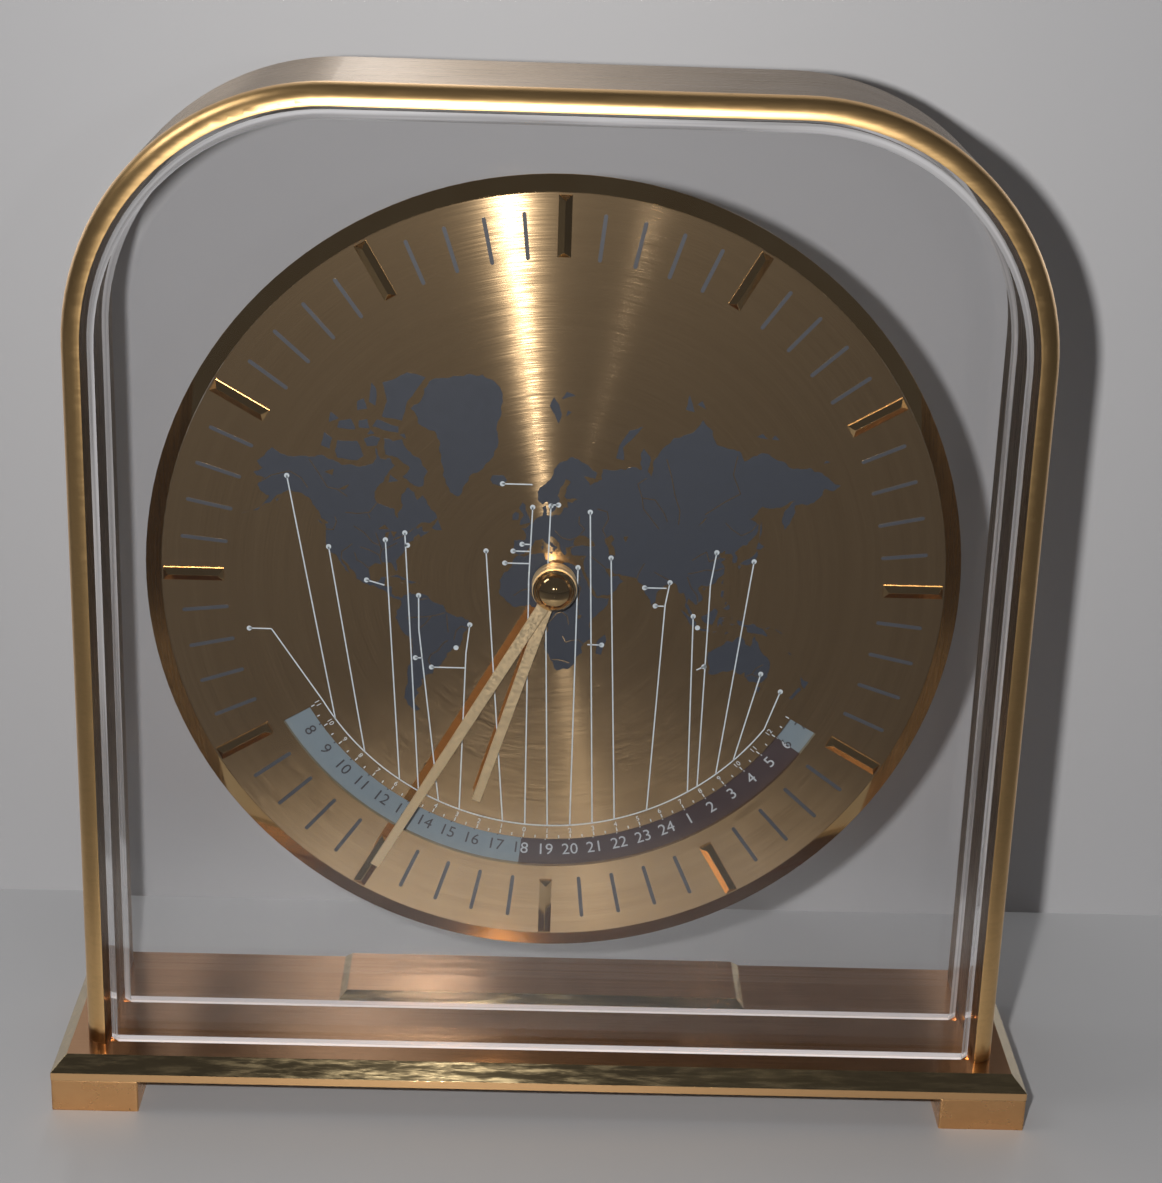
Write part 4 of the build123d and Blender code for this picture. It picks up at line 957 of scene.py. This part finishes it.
# Each line's start and bend, if any, on the map, and the offset that it leads to
zone_lines = [
    ((-171.8, -13.8), (-158.0, -13.8), -11),
    ((-147.7, 64.8), None, -10),
    ((-122.4, 37.8), None, -8),
    ((-87.6, 41.9), None, -6),
    ((-75.7, 45.4), None, -5),
    ((-66.9, 10.5), (-66.5, -12.0), -4),
    ((-34.9, -8.0), (-37.0, -26.0), -3),
    ((-25.7, 37.7), None, -1),
    ((2.3, 57.0), (1.0, 22.0), 0),
    ((13.4, 57.6), (12.0, 5.0), 1),
    ((31.2, 30.0), None, 2),
    ((37.6, 55.8), None, 3),
    ((51.4, 35.7), None, 4),
    ((88.4, 22.6), (86.0, 8.0), 5.5),
    ((103.8, 1.3), None, 7.5),
    ((116.4, 39.9), (113.5, 22.0), 8),
    ((139.7, 35.7), None, 9),
    ((148.0, -33.9), None, 10),
    ((161.0, -43.0), None, 12),
]
# Each branch's two ends on the map; where they agree, it is a dot alone
branches = [
    ((-99.1, 19.4), (-88.0, 16.5)),
    ((-74.0, 39.5), (-75.2, 39.5)),
    ((-68.5, -29.5), (-64.0, -29.5)),
    ((-58.4, -34.6), (-37.5, -34.6)),
    ((-43.2, -22.9), (-43.2, -22.9)),
    ((-16.5, 64.1), (1.8, 64.1)),
    ((-9.1, 38.0), (1.4, 38.0)),
    ((-14.0, 31.5), (1.2, 31.5)),
    ((-3.7, 41.5), (1.4, 41.5)),
    ((18.1, 58.0), (13.4, 58.0)),
    ((47.5, -18.9), (38.6, -18.9)),
    ((72.8, 19.0), (86.4, 19.0)),
    ((79.9, 7.5), (85.2, 7.5)),
    ((106.8, -6.2), (106.8, -6.2)),
    ((112.0, -30.5), (107.5, -32.5)),
]
arc_inner = offset_arc_radius - line_width / 2
arc_outer = offset_arc_radius + line_width / 2
strokes = [arc_band(arc_inner, arc_outer, offset_angle(first_offset), offset_angle(last_offset))]
for start, bend, hours in zone_lines:
    route = [map_point(*start)]
    if bend:
        route.append(map_point(*bend))
    route.append(clock_point(offset_arc_radius, offset_angle(hours)))
    for a, b in zip(route, route[1:]):
        strokes += [ribbon(*stretch, line_width) for stretch in outside_hole(a, b)]
    strokes.append(dot(route[0], dot_radius))
for start, end in branches:
    strokes.append(dot(map_point(*start), dot_radius))
    if start != end:
        strokes.append(ribbon(map_point(*start), map_point(*end), line_width))
for half_hour in range(2 * first_offset, 2 * last_tick_offset + 1):
    angle = offset_angle(half_hour / 2)
    length = half_hour_tick_length if half_hour % 2 else hour_tick_length
    start = clock_point(offset_tick_radius - length, angle)
    strokes.append(ribbon(start, clock_point(offset_tick_radius, angle), offset_tick_width))
flat_piece("zone_lines", strokes, line_layer, white_ink, "case")


# Printed numbers


def number_mesh(work, text, size, radius, angle, front):
    """Adds one printed number to a mesh, its foot turned away from the dial's centre."""
    curve = bpy.data.curves.new("number", "FONT")
    curve.body = text
    curve.size = size * MM
    curve.resolution_u = 3
    curve.align_x = "CENTER"
    curve.align_y = "CENTER"
    carrier = bpy.data.objects.new("number", curve)
    mesh = bpy.data.meshes.new_from_object(carrier)
    x, z = clock_point(radius, angle)
    upright = Matrix.Rotation(math.pi / 2, 4, "X")
    turn = Matrix.Rotation(math.radians(angle + 180.0), 4, "Y")
    place = Matrix.Translation((x * MM, front - print_thickness, dial_centre_z + z * MM))
    mesh.transform(place @ turn @ upright)
    work.from_mesh(mesh)
    bpy.data.objects.remove(carrier)
    bpy.data.curves.remove(curve)
    bpy.data.meshes.remove(mesh)


def numbers_piece(name, numbers, size, radius, front, material, body):
    """Ring of printed numbers, given as text and clock angle."""
    work = bmesh.new()
    for text, angle in numbers:
        number_mesh(work, text, size, radius, angle, front)
    print_piece(name, work, material, body)


offset_numbers = [(str(abs(h)), offset_angle(h)) for h in range(first_offset, last_offset + 1)]
numbers_piece(
    "offset_numbers",
    offset_numbers,
    offset_number_size,
    offset_number_radius,
    line_layer,
    white_ink,
    "case",
)

ring_number_radius = 45.9
ring_number_size = 2.7
ring_tick_radius = 43.7
ring_tick_length = 0.5
ring_tick_width = 0.22
ring_numbers = []
ring_ticks = []
for index in range(hours_per_turn):
    angle = ring_dusk_angle - ring_hour_step * (index + 1 - ring_dusk_hour)
    ring_numbers.append((str(index % hours_per_day + 1), angle))
    outer = clock_point(ring_tick_radius + ring_tick_length, angle)
    ring_ticks.append(ribbon(clock_point(ring_tick_radius, angle), outer, ring_tick_width))
numbers_piece(
    "ring_numbers",
    ring_numbers,
    ring_number_size,
    ring_number_radius,
    disc_front,
    ring_ink,
    "day_disc",
)
flat_piece("ring_ticks", ring_ticks, disc_front, ring_ink, "day_disc")


# Studio, in metres: grey floor and wall, lamps and the camera


def stage_plane(name, corners, colour):
    """Grey stage surface that shows from its front side only and casts no shadow."""
    mottle_scale = 9.0
    mesh = bpy.data.meshes.new(name)
    mesh.from_pydata(corners, [], [(0, 1, 2, 3)])
    piece = bpy.data.objects.new(name, mesh)
    bpy.context.scene.collection.objects.link(piece)
    material, tree, shader = new_material(name)
    mottle = noise(tree, object_point(tree), mottle_scale, detail=3.0)
    tone = blend_colours(tree, mottle, colour, scaled(colour, 0.97))
    feed(tree, shader, {"Base Color": tone, "Roughness": 0.5, "Specular IOR Level": 0.3})
    behind = add(tree, "ShaderNodeNewGeometry", {}).outputs["Backfacing"]
    to_lamp = add(tree, "ShaderNodeLightPath", {}).outputs["Is Shadow Ray"]
    unseen = math_node(tree, "MAXIMUM", behind, to_lamp)
    show(tree, mix_shaders(tree, unseen, shader, add(tree, "ShaderNodeBsdfTransparent", {})))
    mesh.materials.append(material)


floor_size = 4.0
floor_grey = (0.34, 0.34, 0.35)
wall_depth = 0.056
wall_side = 1.2
wall_height = 1.4
wall_grey = (0.42, 0.42, 0.435)
stage_plane(
    "floor",
    [
        (-floor_size, -floor_size, 0.0),
        (floor_size, -floor_size, 0.0),
        (floor_size, floor_size, 0.0),
        (-floor_size, floor_size, 0.0),
    ],
    floor_grey,
)
stage_plane(
    "wall",
    [
        (-wall_side, wall_depth, 0.0),
        (wall_side, wall_depth, 0.0),
        (wall_side, wall_depth, wall_height),
        (-wall_side, wall_depth, wall_height),
    ],
    wall_grey,
)

world = bpy.data.worlds.new("studio")
bpy.context.scene.world = world
world.use_nodes = True
background = world.node_tree.nodes["Background"]
background.inputs["Color"].default_value = (0.06, 0.06, 0.064, 1.0)
background.inputs["Strength"].default_value = 1.0

lamp_target = (0.0, 0.02, 0.10)
warm_white = (1.0, 0.985, 0.96)
spot_half_angle = 30.0
spot_softness = 0.35


def place_lamp(name, lamp, place, power, colour):
    """Puts a lamp in its place, turned to the clock."""
    lamp.energy = power
    lamp.color = colour
    holder = bpy.data.objects.new(name, lamp)
    holder.location = place
    holder.rotation_euler = (Vector(lamp_target) - Vector(place)).to_track_quat("-Z", "Y").to_euler()
    bpy.context.scene.collection.objects.link(holder)


def area_lamp(name, place, size, power):
    lamp = bpy.data.lights.new(name, "AREA")
    lamp.shape = "RECTANGLE"
    lamp.size, lamp.size_y = size
    place_lamp(name, lamp, place, power, white)


def spot_lamp(name, place, radius, power, colour):
    """Small lamp with a soft-edged cone of light."""
    lamp = bpy.data.lights.new(name, "SPOT")
    lamp.spot_size = math.radians(2 * spot_half_angle)
    lamp.spot_blend = spot_softness
    lamp.shadow_soft_size = radius
    place_lamp(name, lamp, place, power, colour)


spot_lamp("key", (-0.030, -0.325, 0.206), radius=0.005, power=5.2, colour=warm_white)
spot_lamp("second", (0.056, -0.325, 0.206), radius=0.006, power=0.15, colour=white)
area_lamp("rear_strip", (-0.10, 0.95, 0.52), size=(0.06, 0.4), power=0.7)
for side in (-1, 1):
    area_lamp("rear_fill", (side * 0.55, 0.80, 0.14), size=(0.5, 0.25), power=2.0)
area_lamp("overhead", (-0.65, -0.05, 0.85), size=(0.4, 0.4), power=1.8)

# Camera: its place in millimetres, its angles in degrees and its focal length in pixels
camera_place = (-4.0, -357.2, 209.8)
camera_heading = -1.314
camera_tilt = 19.684
camera_roll = 1.928
photo_height = 1183
focal_pixels = 2448.7
lens_data = bpy.data.cameras.new("camera")
camera = bpy.data.objects.new("camera", lens_data)
bpy.context.scene.collection.objects.link(camera)
lens_data.sensor_fit = "VERTICAL"
lens_data.lens = focal_pixels * lens_data.sensor_height / photo_height
lens_data.clip_start = 0.01
camera.matrix_world = (
    Matrix.Translation([c * MM for c in camera_place])
    @ Matrix.Rotation(math.radians(camera_heading), 4, "Z")
    @ Matrix.Rotation(math.radians(90.0 - camera_tilt), 4, "X")
    @ Matrix.Rotation(math.radians(camera_roll), 4, "Z")
)
bpy.context.scene.camera = camera
bpy.context.scene.view_settings.view_transform = "Standard"
